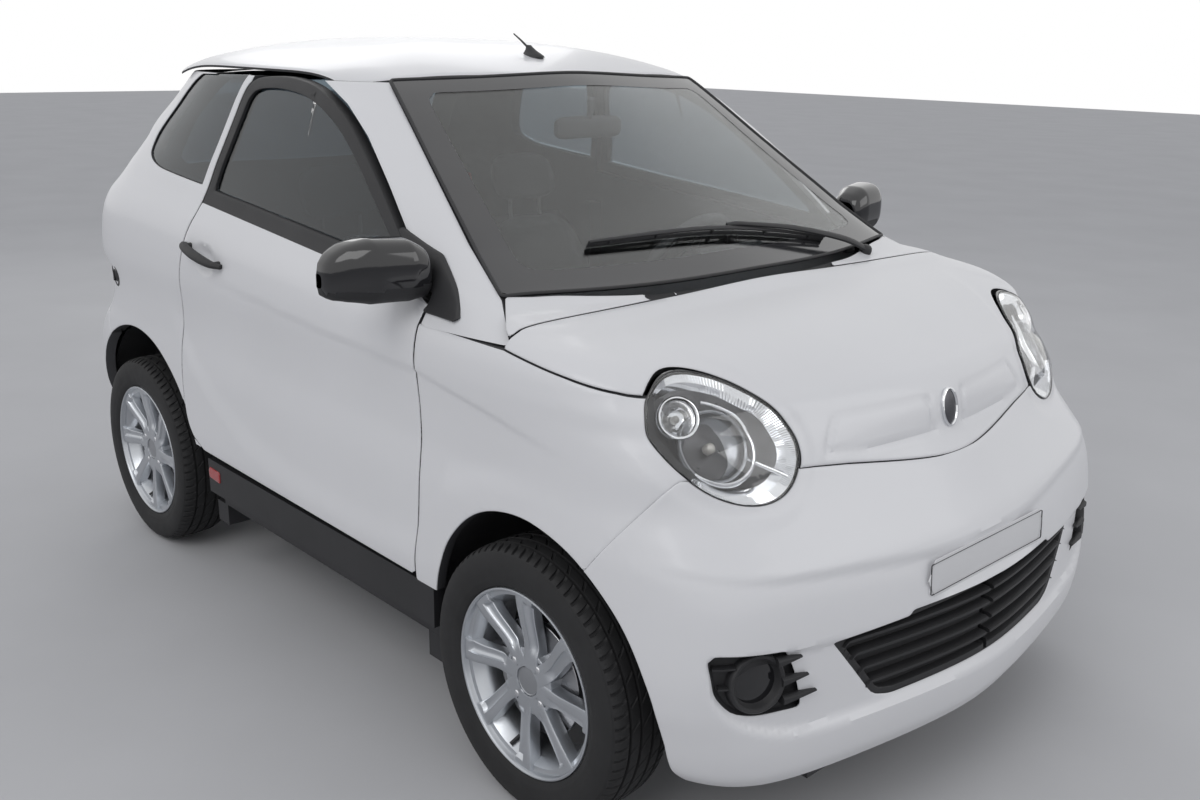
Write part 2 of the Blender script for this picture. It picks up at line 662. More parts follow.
def body_grid(a0, a1, h0, h1, scale=1.0, along_angle=30.0, step=None):
    """Angles and heights for carve, at even steps of the body's surface."""
    step = step or STEP * scale
    mid_h = np.linspace(h0, h1, 5)[2]
    angles = even(lambda a: skin(a, np.full(np.shape(a), mid_h)), a0, a1, step)
    heights = even(lambda h: skin(np.full(np.shape(h), along_angle), h), h0, h1, step)
    return angles, heights


def place_body(q):
    """Places angles and heights on the body."""
    return skin(q[:, 0], q[:, 1])


def pushed_in(depth):
    """Places points on the body's side, pushed in sideways."""
    return lambda q: place_body(q) + np.array([0, depth, 0])


def sideways(depth):
    """Inner face straight inwards from the outer one."""
    return lambda p, q: p + np.array([0, depth, 0])


def inset(depth, drop=0.0):
    """Inner face on a smaller body."""
    return lambda p, q: skin(q[:, 0], q[:, 1], depth, drop)


WALL = 24  # of wings and bumpers
PANE = 5


# Relief of the panels: creases, flares, stampings
STEP_DEPTH, HOLLOW_DEPTH = 4.5, 6.0
DISH_DEPTH = 3.2
BROW_DEPTH, DUCT_DEPTH = 7.0, 13.0
GROOVE_DEPTH = 4.6
SCOOP_DEPTH = 17.0


def soft(t):
    """Eases from 0 to 1."""
    t = np.clip(t, 0, 1)
    return t * t * (3 - 2 * t)


CREASE = np.array([(-640, 894), (-427, 889), (-205, 876), (29, 861), (239, 851), (472, 843), (560, 829),
                   (683, 811), (797, 792), (980, 760)], float)
FLARE = np.array([(-760, 800), (-640, 712), (-576, 642), (-458, 566), (-281, 492), (-66, 456), (192, 444),
                  (454, 458), (560, 640), (1000, 700)], float)
NOSE_EDGE = np.array([(0, 574), (236, 582), (362, 593), (454, 600), (546, 608), (620, 617), (679, 627),
                      (760, 640)], float)
LAMP_OUTLINE = smooth(lamp_oval(1.0))
GROOVE_OUT = smooth(rounded([(60, 829), (-323, 829), (-362, 762), (-200, 754), (60, 750)], 22), 1)
GROOVE_IN = smooth(rounded([(-66, 816), (-310, 816), (-336, 773), (-200, 767), (-66, 765)], 14), 1)


def side_form(p):
    """Pushes the flank in between its crease and its flared bottom."""
    x, y, z = p[:, 0], p[:, 1], p[:, 2]
    zc = np.interp(x, CREASE[:, 0], CREASE[:, 1])
    zl = np.interp(x, FLARE[:, 0], FLARE[:, 1])
    below = zc - z
    step = STEP_DEPTH * soft(below / 9.0) * np.exp(-np.clip(below, 0, None) / 260.0)
    hollow = HOLLOW_DEPTH * soft((below - 6) / 170.0)
    front = soft((960 - x) / 260.0)
    lead = soft((x + 500) / 260.0)
    rear = soft((x + 720) / 90.0)
    arch_f = soft((np.hypot(x - 830, z - 300) - 352) / 80.0)
    arch_f = np.where(x < 440, 1.0, arch_f)
    arch_r = soft((np.hypot(x + 948, z - 288) - 395) / 70.0)
    push = (step * lead + hollow) * soft((z - zl + 46) / 84.0) * front * rear * arch_f * arch_r
    flank = soft((-y - 640) / 50.0)
    out = p.copy()
    out[:, 1] += push * flank
    return out


def wing_form(p):
    return lamp_form(side_form(p))


def lamp_form(p):
    """A shallow dish around the headlamp."""
    d = -inside(LAMP_OUTLINE, p[:, (1, 2)])
    near = (p[:, 0] > 850) & (p[:, 1] < -300)
    dish = DISH_DEPTH * (1 - soft((d - 20) / 16.0)) * soft((d + 4) / 10.0)
    dish = np.where(near, dish, 0)
    out = p.copy()
    out[:, 0] -= dish * 0.8
    out[:, 2] -= dish * 0.5
    return out


def nose_form(p):
    """Front bumper: brow, plate recess and the duct around grille and fog lamps."""
    out = lamp_form(p)
    x, y, z = p[:, 0], p[:, 1], p[:, 2]
    ahead = soft((x - 1080) / 110.0)
    ze = np.interp(-y, NOSE_EDGE[:, 0], NOSE_EDGE[:, 1])
    below = ze - z
    brow = BROW_DEPTH * soft((below + 2) / 16.0) * np.exp(-np.clip(below - 14, 0, None) / 120.0)
    d = inside(DUCT, p[:, (1, 2)])
    duct = DUCT_DEPTH * soft(d / 16.0)
    out[:, 0] -= (brow + duct) * ahead
    plate = inside(smooth(PLATE_HOLE), p[:, (1, 2)])
    flat = np.minimum(out[:, 0], 1346.0 - 7.0 * (z - 531) / 95.0)
    out[:, 0] = np.where(plate > 0, out[:, 0] + (flat - out[:, 0]) * soft(plate / 4.0), out[:, 0])
    return out


def hood_form(p):
    """Hood: the stamped grooves either side of the badge and the dish around the lamps."""
    out = lamp_form(p)
    ahead = p[:, 0] > 1060
    o = inside(GROOVE_OUT, p[:, (1, 2)])
    i = inside(GROOVE_IN, p[:, (1, 2)])
    groove = GROOVE_DEPTH * soft(o / 7.0) * (1 - soft((i + 7) / 7.0))
    boss = np.hypot(p[:, 1] / 44.0, (p[:, 2] - 797) / 54.0)
    groove = np.where(ahead, groove * (1 - soft((1.32 - boss) / 0.16)), 0)
    out[:, 0] -= groove * 0.85
    out[:, 2] -= groove * 0.4
    return out


# Doors: skin panel, window frame, glass
WAIST_CUT = [(-900, 1095.7), (600, 964.7), (600, 300), (-900, 300)]
ABOVE = [(-700, 1071), (-508, 1055.5), (476, 972), (700, 953), (700, 1500), (-700, 1500)]


def scoop_form(p):
    """Flank with the scoop behind the door handle."""
    out = side_form(p)
    d = np.hypot((p[:, 0] + 448) / 62.0, (p[:, 2] - 928 + 0.09 * (p[:, 0] + 448)) / 36.0)
    out[:, 1] += SCOOP_DEPTH * (1 - soft((d - 0.35) / 0.65)) * (p[:, 1] < 0)
    return out


angles, heights = body_grid(50, 130, 375, 1010, along_angle=90)
door = carve(angles, heights, place_body, [zone(DOOR, SIDE), zone(lines(WAIST_CUT), SIDE)],
             inner=sideways(52), bumps=scoop_form)
angles, heights = body_grid(48, 130, 880, 1400, along_angle=90)
frame_piece = carve(angles, heights, pushed_in(1.5), [
    zone(DOOR, SIDE), zone(lines(ABOVE), SIDE), cut_away(DOOR_GLASS, SIDE)], round_by=2.0, inner=sideways(26))
pane = carve(angles, heights, pushed_in(9.0), [zone(DOOR_GLASS, SIDE, -0.5)], 0.8, sideways(PANE))


def run_along(p):
    """Distance along a path at each of its points."""
    return np.concatenate([[0], np.cumsum(np.linalg.norm(np.diff(p, axis=0), axis=1))])


def along_run(points, t):
    """Points at shares t of a path's length."""
    p = np.array(points, float)
    run = run_along(p)
    return np.stack([np.interp(t * run[-1], run, p[:, k]) for k in range(p.shape[1])], -1)


def curve_of(points, count):
    """Smooth curve through points, at even steps."""
    fine = smooth([list(map(tuple, points))], 12) if len(points) > 2 else np.array(points, float)
    fine = np.vstack([fine, points[-1]])
    return along_run(fine, np.linspace(0, 1, count))


def loft(rings, caps=True):
    """Quads over a list of closed rings of points."""
    rings = [np.array(r, float) for r in rings]
    n = len(rings[0])
    verts = np.vstack(rings)
    faces = []
    for k in range(len(rings) - 1):
        for i in range(n):
            j = (i + 1) % n
            faces.append((k * n + i, k * n + j, (k + 1) * n + j, (k + 1) * n + i))
    if caps:
        for k, order in ((0, -1), (len(rings) - 1, 1)):
            c = len(verts)
            verts = np.vstack([verts, rings[k].mean(0)])
            for i in range(n):
                j = (i + 1) % n
                faces.append((c, k * n + i, k * n + j) if order > 0 else (c, k * n + j, k * n + i))
    return verts, faces


def across(way):
    """A direction square to another."""
    side = np.cross(way, (0, 0, 1.0))
    return side if np.linalg.norm(side) >= 0.1 else np.cross(way, (1.0, 0, 0))


def frames(path):
    """Tangent and two cross directions along a path."""
    t = np.gradient(path, axis=0)
    t /= np.linalg.norm(t, axis=1)[:, None]
    side = across(t[0])
    out = []
    for d in t:
        side = side - d * (side @ d)
        side /= np.linalg.norm(side)
        out.append((d, side, np.cross(side, d)))
    return out


def squared(count, power):
    """Cosine, sine and radius once round a rounded square of half size 1."""
    a = turns(count)
    c, s = np.cos(a), np.sin(a)
    r = (np.abs(c) ** power + np.abs(s) ** power) ** (-1 / power)
    return c, s, r


def sweep(path, wide, tall=None, power=2.0, count=14, ends=True, fixed=None):
    """Tube along a path; wide and tall are half sizes, one number or one for each point."""
    path = np.array(path, float)
    n = len(path)
    wide = np.broadcast_to(np.asarray(wide, float), (n,))
    tall = wide if tall is None else np.broadcast_to(np.asarray(tall, float), (n,))
    c, s, r = squared(count, power)
    rings = []
    for p, (d, u, v), w, h in zip(path, frames(path), wide, tall):
        if fixed is not None:
            u = np.cross(d, fixed)
            u /= np.linalg.norm(u)
            v = np.cross(u, d)
        rings.append(p + (w * r * c)[:, None] * u + (h * r * s)[:, None] * v)
    return loft(rings, ends)


def lathe(profile, origin=(0, 0, 0), axis=(0, 1, 0), count=64, wave=None):
    """Profile of (radius, along) turned round an axis."""
    axis = np.array(axis, float) / np.linalg.norm(axis)
    u = across(axis)
    u /= np.linalg.norm(u)
    v = np.cross(axis, u)
    verts, faces = [], []
    n = len(profile)
    for i in range(count):
        a = math.radians(360.0 * i / count)
        d = u * math.cos(a) + v * math.sin(a)
        for k, (r, h) in enumerate(profile):
            if wave is not None:
                r = wave(i, k, r)
            verts.append(np.array(origin, float) + d * r + axis * h)
    for i in range(count):
        j = (i + 1) % count
        for k in range(n - 1):
            faces.append((i * n + k, j * n + k, j * n + k + 1, i * n + k + 1))
    return np.array(verts), faces


def merged(parts):
    """One part from several."""
    verts, faces, base = [], [], 0
    for v, f in parts:
        verts.append(np.array(v, float))
        faces += [tuple(i + base for i in face) for face in f]
        base += len(v)
    return np.vstack(verts), faces


def mirrored(part):
    """A right hand part made left."""
    v, f = part
    return np.array(v, float) * np.array([1, -1, 1]), [tuple(reversed(face)) for face in f]


def on_sides(part, side):
    """A right hand part on the right, the left or both sides."""
    if side == "both":
        return merged([part, mirrored(part)])
    return part if side == "right" else mirrored(part)


def slab(outline, place, depth, step=8.0, edge=1.5, hollow=()):
    """Thick plate from a flat outline, with eased edges; place maps (u, v, depth) to space."""
    pts = smooth(outline)
    lo, hi = pts.min(0), pts.max(0)
    us = np.linspace(lo[0] - 1, hi[0] + 1, max(3, int((hi[0] - lo[0]) / step)))
    vs = np.linspace(lo[1] - 1, hi[1] + 1, max(3, int((hi[1] - lo[1]) / step)))
    rules = [lambda a, o=pts: inside(o, a)] + [lambda a, o=smooth(h): -inside(o, a) for h in hollow]
    q, tris, sink = trimmed(us, vs, lambda q: q, rules, edge, 0.35)
    top = place(q[:, 0], q[:, 1], sink)
    under = place(q[:, 0], q[:, 1], np.full(len(q), float(depth)))
    n = len(q)
    tris = facing_out(tris, top, under)
    faces = [tuple(t) for t in tris] + [(n + t[0], n + t[2], n + t[1]) for t in tris]
    for a, b in edges_of(tris):
        faces.append((b, a, n + a, n + b))
    return np.vstack([top, under]), faces


def put(part, name, look, body="car_body", replaces=(), sharp=40.0, subsurf=0):
    """Mesh object from vertices and faces in millimetres, on a body."""
    o = mesh_object(name, part[0], part[1], look, body, replaces, sharp)
    if subsurf:
        m = o.modifiers.new("smooth", "SUBSURF")
        m.levels = m.render_levels = subsurf
    return o


def at_side(x, z):
    """Outer point of the right flank."""
    return np.array([x, -float(side_y(x, z)), z])


# Handle, mirror and its foot, right side first
handle_path = curve_of([(x, at_side(x, flank_z)[1] - out, z) for x, flank_z, out, z in (
    (-549, 958, 6, 958), (-520, 955, 20, 954.5), (-448, 944, 27, 943), (-380, 932, 20, 930.5),
    (-347, 926, 5, 926))], 26)
ends = np.sin(np.linspace(0.06, 0.94, 26) * math.pi) ** 0.35
handle = sweep(handle_path, 7.5 * ends + 1.5, 13.0 * ends + 1.0, 2.8, 16, fixed=(0, 1, 0))
handle_feet = merged([sweep([at_side(x, z) + (0, 14, 0), at_side(x, z) + (0, -17, 0)], [11, 8], [9, 7], 3, 14)
                      for x, z in ((-527, 954.5), (-368, 929))])
lock = lathe([(0, -1.2), (6.5, -1.2), (7.5, 0), (7.5, 8)], at_side(-545, 957) + (0, -2, 0), (0, -1, 0), 24)

# Mirror housing: sections across its arm, y, middle x and z, half sizes in x and z
MIRROR = [(-700, 449, 1026, 28, 36), (-712, 448, 1031, 42, 50), (-746, 442, 1038, 53, 62),
          (-822, 425, 1041, 58, 64), (-860, 409, 1038, 49, 55), (-884, 397, 1031, 37, 44),
          (-896, 391, 1026, 24, 31), (-899.6, 388, 1024, 11, 14)]
MIRROR_RINGS, MIRROR_COUNT = 40, 72
MIRROR_BACK = 379.0


def mirror_rings(spread=0.0):
    """Sections of the mirror's housing, made larger by spread, cut flat at the glass."""
    keys = np.array(MIRROR, float)
    fine = curve_of(keys[:, :3], MIRROR_RINGS)
    run = run_along(keys[:, :3])
    t = np.linspace(0, run[-1], MIRROR_RINGS)
    hx, hz = (np.interp(t, run, keys[:, k]) + spread for k in (3, 4))
    c, s, r = squared(MIRROR_COUNT, 2.8)
    return [np.stack([np.maximum(cx + x * r * c, MIRROR_BACK - 0.02 * (y + 900)), np.full(MIRROR_COUNT, y),
                      cz + z * r * s], 1) for (y, cx, cz), x, z in zip(fine, hx, hz)]


def part_of(rings, keep):
    """Faces of a loft whose middle passes a test, with their own vertices."""
    v, f = loft(rings)
    f = [face for face in f if keep(v[list(face)].mean(0))]
    used = sorted({i for face in f for i in face})
    new = {i: k for k, i in enumerate(used)}
    return v[used], [tuple(new[i] for i in face) for face in f]


def glass_ring(x):
    """Outline of the mirror's glass: an oval, longer outwards, with a flatter top and bottom."""
    return [(x, -808 + 60 * math.cos(a) * (1 if math.cos(a) > 0 else 1.05),
             1040 + 44 * math.sin(a) * (abs(math.sin(a)) ** 0.1 + 0.001)) for a in turns(48)]


mirror_low = loft(mirror_rings())
mirror_cap = part_of(mirror_rings(1.1), lambda p: p[2] > 1012 + 0.045 * (p[1] + 742) and p[0] > 381)
mirror_glass = loft([glass_ring(377.6), glass_ring(381)])
stalk = sweep(curve_of([(424, at_side(424, 1012)[1] + 14, 1010), (424, -700, 1014), (428, -742, 1018),
                        (430, -772, 1028)], 14), np.linspace(30, 24, 14), np.linspace(17, 22, 14), 3.0, 20,
              fixed=(0, 0, 1))


def side_place(u, v, d):
    """Points on the right flank from x, z and the depth under the skin."""
    return np.stack([u, -side_y(u, v) + d - 5.0, v], -1)


foot = slab(rounded([(481, 956), (592, 954), (548, 996), (464, 1062), (338, 1102), (334, 1094), (437, 1007),
                     (456, 993), (481, 993)], 6), side_place, 9, 6.0, 2.0)
for side in ("right", "left"):
    body = "door_" + side
    shell([door], "door_skin_" + side, "paint", body, side=side, replaces=["door_panel_" + side])
    shell([pane], "door_pane_" + side, "tint", body, side=side, replaces=["door_glass_" + side])
    shell([frame_piece], "window_frame_" + side, "black", body, side=side, replaces=["door_frame_" + side])
    put(on_sides(merged([handle, handle_feet]), side), "door_handle_" + side, "black", body,
        ["door_frame_" + side])
    put(on_sides(lock, side), "door_lock_" + side, "chrome", body)
    put(on_sides(merged([mirror_low, stalk]), side), "mirror_body_" + side, "black", body, ["mirror_" + side])
    put(on_sides(mirror_cap, side), "mirror_cap_" + side, "gloss_black", body)
    put(on_sides(mirror_glass, side), "mirror_glass_" + side, "chrome", body)
put(on_sides(foot, "both"), "mirror_feet", "black", "car_body")

# Front wings and windscreen pillars
angles, heights = body_grid(18, 80, 370, 975, along_angle=40)
WING = [[(456, 376), (462, 500), (468, 625), (474, 800), (480, 932)]] + lines(
    [(480, 932), (486, 1100), (1300, 1100), (1300, 376), (456, 376)])[:4]
WING_TOP = lines([(300, 100), (300, 936), (741, 931), (899, 910), (1038, 887), (1100, 846), (1158, 764),
                  (1180, 100)])
wing = carve(angles, heights, place_body, [
    zone(WING, SIDE), zone(WING_TOP, SIDE), cut_away(FRONT_ARCH, SIDE),
    cut_away(lines(BUMPER_TOP), SIDE, SEAM), cut_away(lamp_oval(1.003), FRONT),
], inner=sideways(WALL), bumps=wing_form)
SCREEN_SIDE = [(622, 643), (480, 612), (330, 574), (180, 536), (37, 499)]
PILLAR_BACK = [(484, 932), (484, 1004), (366, 1084), (258, 1176), (136, 1268), (34, 1330), (-90, 1376)]
xy = np.array(SCREEN_SIDE, float)
front_line = np.vstack([[738, 716, 936], np.stack([xy[:, 0] + 4, xy[:, 1] + 3,
                                                   top_z(xy[:, 0] + 4, xy[:, 1] + 3)], 1)])
xz = np.array(PILLAR_BACK, float)
back_line = np.stack([xz[:, 0], side_y(xz[:, 0], xz[:, 1]), xz[:, 1]], 1)
ts, ss = np.linspace(0, 1, 61), np.linspace(0, 1, 15)
a, b = along_run(front_line, ts), along_run(back_line, ts)
outer = a[:, None, :] + (b - a)[:, None, :] * ss[None, :, None]
bulge = np.sin(np.pi * ss)
edge = 3.5 * (1 - np.clip(np.minimum(ss, 1 - ss) / 0.07, 0, 1)) ** 2
outer = np.stack([outer[..., 0] + 3 * bulge - edge * 0.5, -outer[..., 1] - 4 * bulge + edge,
                  outer[..., 2]], -1)
under = outer + np.stack([-16 + 22 * ss, np.full(15, 24.0), np.zeros(15)], -1)[None]
pillar = sheet_grid(outer, under)
shell([wing, pillar], "wing_skins", "paint", "car_body", replaces=["fenders"])

# Hood
angles, heights = body_grid(0, 66, 690, 1004, scale=0.8, along_angle=0)
hood = carve(angles, heights, place_body, [
    zone(lines(HOOD_LINE), SIDE), cut_away(lamp_oval(1 + GAP / 110), FRONT)], inner=inset(18, 18),
    bumps=hood_form)
shell([hood], "hood_skin", "paint", "hood", replaces=["hood_panel"])

# Rear quarters
angles, heights = body_grid(96, 180, 380, 1400, along_angle=120)
QUARTER = lines([(-700, 1500), (-425, 1388), (-425, 1000), (-500, 402), (-546, 402), (-1500, 402),
                 (-1500, 1500)])
quarter = carve(angles, heights, place_body, [
    cut_away(DOOR, SIDE, GAP), zone(QUARTER, SIDE), cut_away(REAR_ARCH, SIDE),
    cut_away(lines(BUMPER_SEAM), SIDE, SEAM), cut_away(QUARTER_GLASS, SIDE),
    cut_away(GATE, FRONT, GAP, when=lambda p: p[:, 0] < -850),
    cut_away(TAIL_LAMP, FRONT, 0.5, when=lambda p: p[:, 0] < -850),
    lambda p: 1376 - p[:, 2],
], inner=sideways(40), bumps=side_form)
shell([quarter], "quarter_skins", "paint", "car_body", replaces=["rear_quarters"])
quarter_pane = carve(angles, heights, pushed_in(6.0), [zone(QUARTER_GLASS, SIDE, -0.5)], 0.8, sideways(PANE))
shell([quarter_pane], "quarter_panes", "tint", "car_body", replaces=["quarter_glass"])

# Tailgate and its window
angles, heights = body_grid(130, 180, 680, 1396, scale=1.25, along_angle=180)
gate = carve(angles, heights, place_body, [zone(GATE, FRONT), cut_away(WINDOW, FRONT)], inner=inset(28))
hinge_pins = merged([sweep([(-1034, y, 1374), (-1034, y + 30, 1374)], 5, count=16) for y in (-165, 135)])
shell([gate], "tailgate_skin", "paint", "tailgate", replaces=["tailgate_panel"])
put(hinge_pins, "tailgate_hinge_pins", "black", "tailgate", ["tailgate_panel"])
gate_pane = carve(angles, heights, lambda q: skin(q[:, 0], q[:, 1], PANE), [zone(WINDOW, FRONT, -0.5)], 0.8,
                  inset(2 * PANE))
shell([gate_pane], "tailgate_pane", "tint", "tailgate", replaces=["tailgate_glass"])

# Tail lamps, ribbed lenses
angles, heights = body_grid(100, 180, 744, 1010, step=5.0, along_angle=150)


def ribbed(p):
    """Fine upright ribs over a tail lamp."""
    way = p[:, :2] - np.array([-470.0, 0.0])
    way /= np.linalg.norm(way, axis=1)[:, None]
    lift = 1.6 + 0.8 * np.sin(p[:, 1] * 2 * math.pi / 13.0) - 1.4 * (np.abs((p[:, 2] - 884) % 78 - 39) < 4)
    return p + np.column_stack([way * lift[:, None], np.zeros(len(p))])


tail_lens = carve(angles, heights, place_body, [zone(TAIL_LAMP, FRONT, -0.5), lambda p: -850 - p[:, 0]],
                  inner=inset(22), bumps=ribbed)
shell([tail_lens], "tail_lamp_lenses", "red", "car_body", replaces=["tail_lamps"])

# Bumpers
angles, heights = body_grid(0, 84, 200, 800, scale=0.85, along_angle=20)
bumper = carve(angles, heights, place_body, [
    zone(lines(BUMPER_TOP), SIDE), cut_away(FRONT_ARCH, SIDE), cut_away(lamp_oval(1.003), FRONT),
    cut_away(GRILLE, FRONT), cut_away(FOG, FRONT)], inner=inset(WALL), bumps=nose_form)
shell([bumper], "front_bumper_skin", "paint", "car_body", replaces=["front_bumper"])
angles, heights = body_grid(100, 180, 205, 700, scale=1.25, along_angle=160)
rear = carve(angles, heights, place_body, [
    zone(lines([(-900, 150)] + BUMPER_SEAM[1:5] + [(-1420, 150)]), SIDE), cut_away(REAR_ARCH, SIDE)],
    inner=inset(WALL))
shell([rear], "rear_bumper_skin", "paint", "car_body", replaces=["rear_bumper"])

# Roof, with its brackets over the hinge pins
ROOF_WIDTH = float(row(np.array(1396.0))[0]) * 0.985


def roof_front(y):
    """Where the roof ends at the windscreen."""
    return 92 - 62 * (y / 495.0) ** 2 - 70 * np.maximum(0.0, (np.abs(y) - 470) / 85.0) ** 2


def roof_back(y):
    """Where the roof ends at the tailgate."""
    return -1052 + 52 * (y / 500.0) ** 2 + 80 * np.maximum(0.0, (np.abs(y) - 440) / 115.0) ** 2


ts, ss = np.meshgrid(np.linspace(-1, 1, 71), np.linspace(-1, 1, 71))
ts = np.sign(ts) * (1 - (1 - np.abs(ts)) ** 1.35)
ss = np.sign(ss) * (1 - (1 - np.abs(ss)) ** 1.35)
ys = ss * ROOF_WIDTH
xs = (roof_front(ys) + roof_back(ys)) / 2 - (roof_front(ys) - roof_back(ys)) / 2 * ts
zs = TOP_Z - 78 * (np.abs(ss) ** 6 + np.abs(ts) ** 6) ** 0.4 - 0.004 * (xs + 470)
deep = 8 + 12 * (1 - ss ** 4) * (1 - ts ** 4)
eased = np.clip(1 - (1 - np.maximum(np.abs(ss), np.abs(ts))) / 0.012, 0, 1)
outer = np.stack([xs, ys, zs - 2.5 * eased ** 2], -1)
under = np.stack([xs, ys, zs - deep], -1)
roof = sheet_grid(outer, under)
shell([roof], "roof_skin", "paint", "car_body", side="right", replaces=["roof_panel"])
brackets = merged([sweep([(-1033, y - 20, 1389.2), (-1033, y + 20, 1389.2)], 7, 8.6, 8, 24, fixed=(0, 0, 1))
                   for y in (-150, 150)])
put(brackets, "roof_hinge_brackets", "black", "car_body", ["roof_panel"])

# Windscreen with its dark border, rubber seal and the scuttle in front of it
SCREEN_LENGTH = 752.0


def on_screen(u, v, d=0.0):
    """Point of the windscreen: u across, v up its slope in millimetres, d under its face."""
    def flat(u, v):
        s, t = u / 640.0, v / SCREEN_LENGTH
        low_x, high_x = 716 - 96 * s * s, 96 - 62 * s * s
        x = low_x + (high_x - low_x) * t
        y = 640 * s + (495 * s - 640 * s) * t
        return np.stack([x, y, top_z(x, y)], -1)
    u, v = np.asarray(u, float), np.asarray(v, float)
    p = flat(u, v)
    du = flat(u + 6, v) - flat(u - 6, v)
    dv = flat(u, v + 6) - flat(u, v - 6)
    n = np.cross(du, dv)
    n /= np.linalg.norm(n, axis=-1)[..., None]
    n = np.where(n[..., 2:3] < 0, -n, n)
    return p - n * np.asarray(d, float)[..., None]


EDGE = [(-640, 0), (640, 0), (640, SCREEN_LENGTH), (-640, SCREEN_LENGTH)]
glass = slab(rounded(EDGE, 10), on_screen, 4.2, 26.0, 0.8)
put(glass, "windscreen_glass", "glass", "car_body", ["windscreen"])
CLEAR = rounded([(-566, 76), (566, 76), (560, SCREEN_LENGTH - 60), (-560, SCREEN_LENGTH - 60)], 46, 8)
border = slab(rounded(EDGE, 10), lambda u, v, d: on_screen(u, v, d - 0.5), -0.1, 22.0, 0.3, hollow=[CLEAR])
put(border, "windscreen_border", "frit", "car_body")
rim_uv = smooth(rounded([(-638, 2), (638, 2), (638, SCREEN_LENGTH - 2), (-638, SCREEN_LENGTH - 2)], 12), 1)
rim_path = on_screen(rim_uv[:, 0], rim_uv[:, 1], np.full(len(rim_uv), -0.5))
rim_path = np.vstack([rim_path, rim_path[:1]])
put(sweep(rim_path, 4.0, 4.0, 2, 8, ends=False), "windscreen_seal", "black", "car_body")

angles, heights = body_grid(0, 66, 915, 1012, scale=0.6, along_angle=30)
SCUTTLE = [
    [(737, -268), (724, -272)],
    [(724, -272), (712, -357), (688, -444), (660, -527), (642, -588), (622, -632)],
    [(622, -632), (713, -703)], [(713, -703), (737, -716)], [(737, -716), (737, -268)],
]
NOTCH = [[(728 + 21 * math.cos(a), -311 + 40 * math.sin(a)) for a in np.linspace(0, 2 * math.pi, 25)]]
scuttle_right = carve(angles, heights, place_body, [zone(SCUTTLE, TOP), cut_away(NOTCH, TOP)], round_by=2.0,
                      inner=inset(3, 5))
scuttle_left = carve(angles, heights, place_body, [zone(SCUTTLE, TOP)], round_by=2.0, inner=inset(3, 5))
shell([scuttle_right], "scuttle_corner_right", "paint", "car_body", side="right")
shell([scuttle_left], "scuttle_corner_left", "paint", "car_body", side="left")

# Wiper: spindle, arm and blade
SCREEN_OUT = (0.566, 0, 0.824)  # square to the windscreen


def over_screen(x, y, lift):
    """Point at a height over the windscreen."""
    return np.array([x, y, float(top_z(x, y))]) + np.array(SCREEN_OUT) * lift


blade_xy = curve_of([(648, 330, 0), (612, 40, 0), (583, -230, 0), (566, -372, 0)], 40)
rubber = sweep([over_screen(x, y, 6) for x, y, z in blade_xy], 2.2, 6.0, 4, 10, fixed=SCREEN_OUT)
spine = sweep([over_screen(x, y, 16 + 5 * math.sin(math.pi * k / 39))
               for k, (x, y, z) in enumerate(blade_xy)],
              np.sin(np.linspace(0.1, 0.9, 40) * math.pi) * 3.5 + 2.5, 3.0, 3, 10, fixed=SCREEN_OUT)
claws = merged([sweep([over_screen(*blade_xy[k][:2], 16), over_screen(*blade_xy[k][:2], 7)], 4, 5, 3, 10)
                for k in (3, 11, 20, 29, 36)])
ARM = ((668, 372, 26), (632, 220, 30), (606, 60, 26), (600, 20, 20))
arm = sweep(curve_of([(698, 450, 992)] + [tuple(over_screen(*at)) for at in ARM], 30),
            np.linspace(11, 5, 30), np.linspace(5.5, 3.5, 30), 3, 14, fixed=SCREEN_OUT)
cap = lathe([(0, 14), (9, 13), (13, 9), (15, 2), (15, -12), (0, -12)], (698, 450, 988), (0.35, 0, 0.94), 32)
put(merged([rubber, spine, claws, arm, cap]), "wiper_assembly", "black", "car_body", ["wiper"])

# Antenna: a moulded foot and a raked rod
FOOT_X, FOOT_Z = -52, 1435.5
foot_rings = []
for h, rx, ry, dx in ((-3, 37, 22, 0), (1, 35, 20, 0), (5, 30, 16, -3), (12, 19, 11, -9), (19, 11, 8, -15),
                      (24, 6.5, 6.5, -19)):
    a = turns(40)
    xs = FOOT_X + dx + rx * np.cos(a)
    foot_rings.append(np.stack([xs, ry * np.sin(a), FOOT_Z + h + 0.06 * (FOOT_X - xs)], -1))
put(loft(foot_rings), "antenna_foot", "black", "car_body")
mast = curve_of([(-68, 0, 1451), (-98, 0, 1470), (-131, 0, 1488)], 16)
put(sweep(mast, np.linspace(3.4, 1.7, 16), count=10), "antenna_rod", "black", "car_body", ["antenna"])

# Headlamps: clear lens over a silver bowl, a round lamp with a bright ring, and a fluted edge


def nose_point(y, z, depth=0.0):
    """Point on the right front of the skin with a given y and z, under the skin by depth."""
    y, z = np.broadcast_arrays(np.asarray(y, float), np.asarray(z, float))
    lo, hi = np.full(y.shape, 0.5), np.full(y.shape, 80.0)
    for k in range(24):
        mid = (lo + hi) / 2
        small = -skin(mid, z)[..., 1] < -y
        lo, hi = np.where(small, mid, lo), np.where(small, hi, mid)
    p = skin(lo, z)
    a = skin(lo + 0.6, z) - skin(lo - 0.6, z)
    b = skin(lo, z + 4) - skin(lo, z - 4)
    n = np.cross(a, b)
    n /= np.linalg.norm(n, axis=-1)[..., None]
    n = np.where(n[..., 0:1] < 0, -n, n)
    return p - n * np.asarray(depth, float)[..., None]


def in_lamp(u, v, depth):
    """Point behind the lamp's face, from its long and short axes."""
    return nose_point(*lamp_xy(u, v), depth)


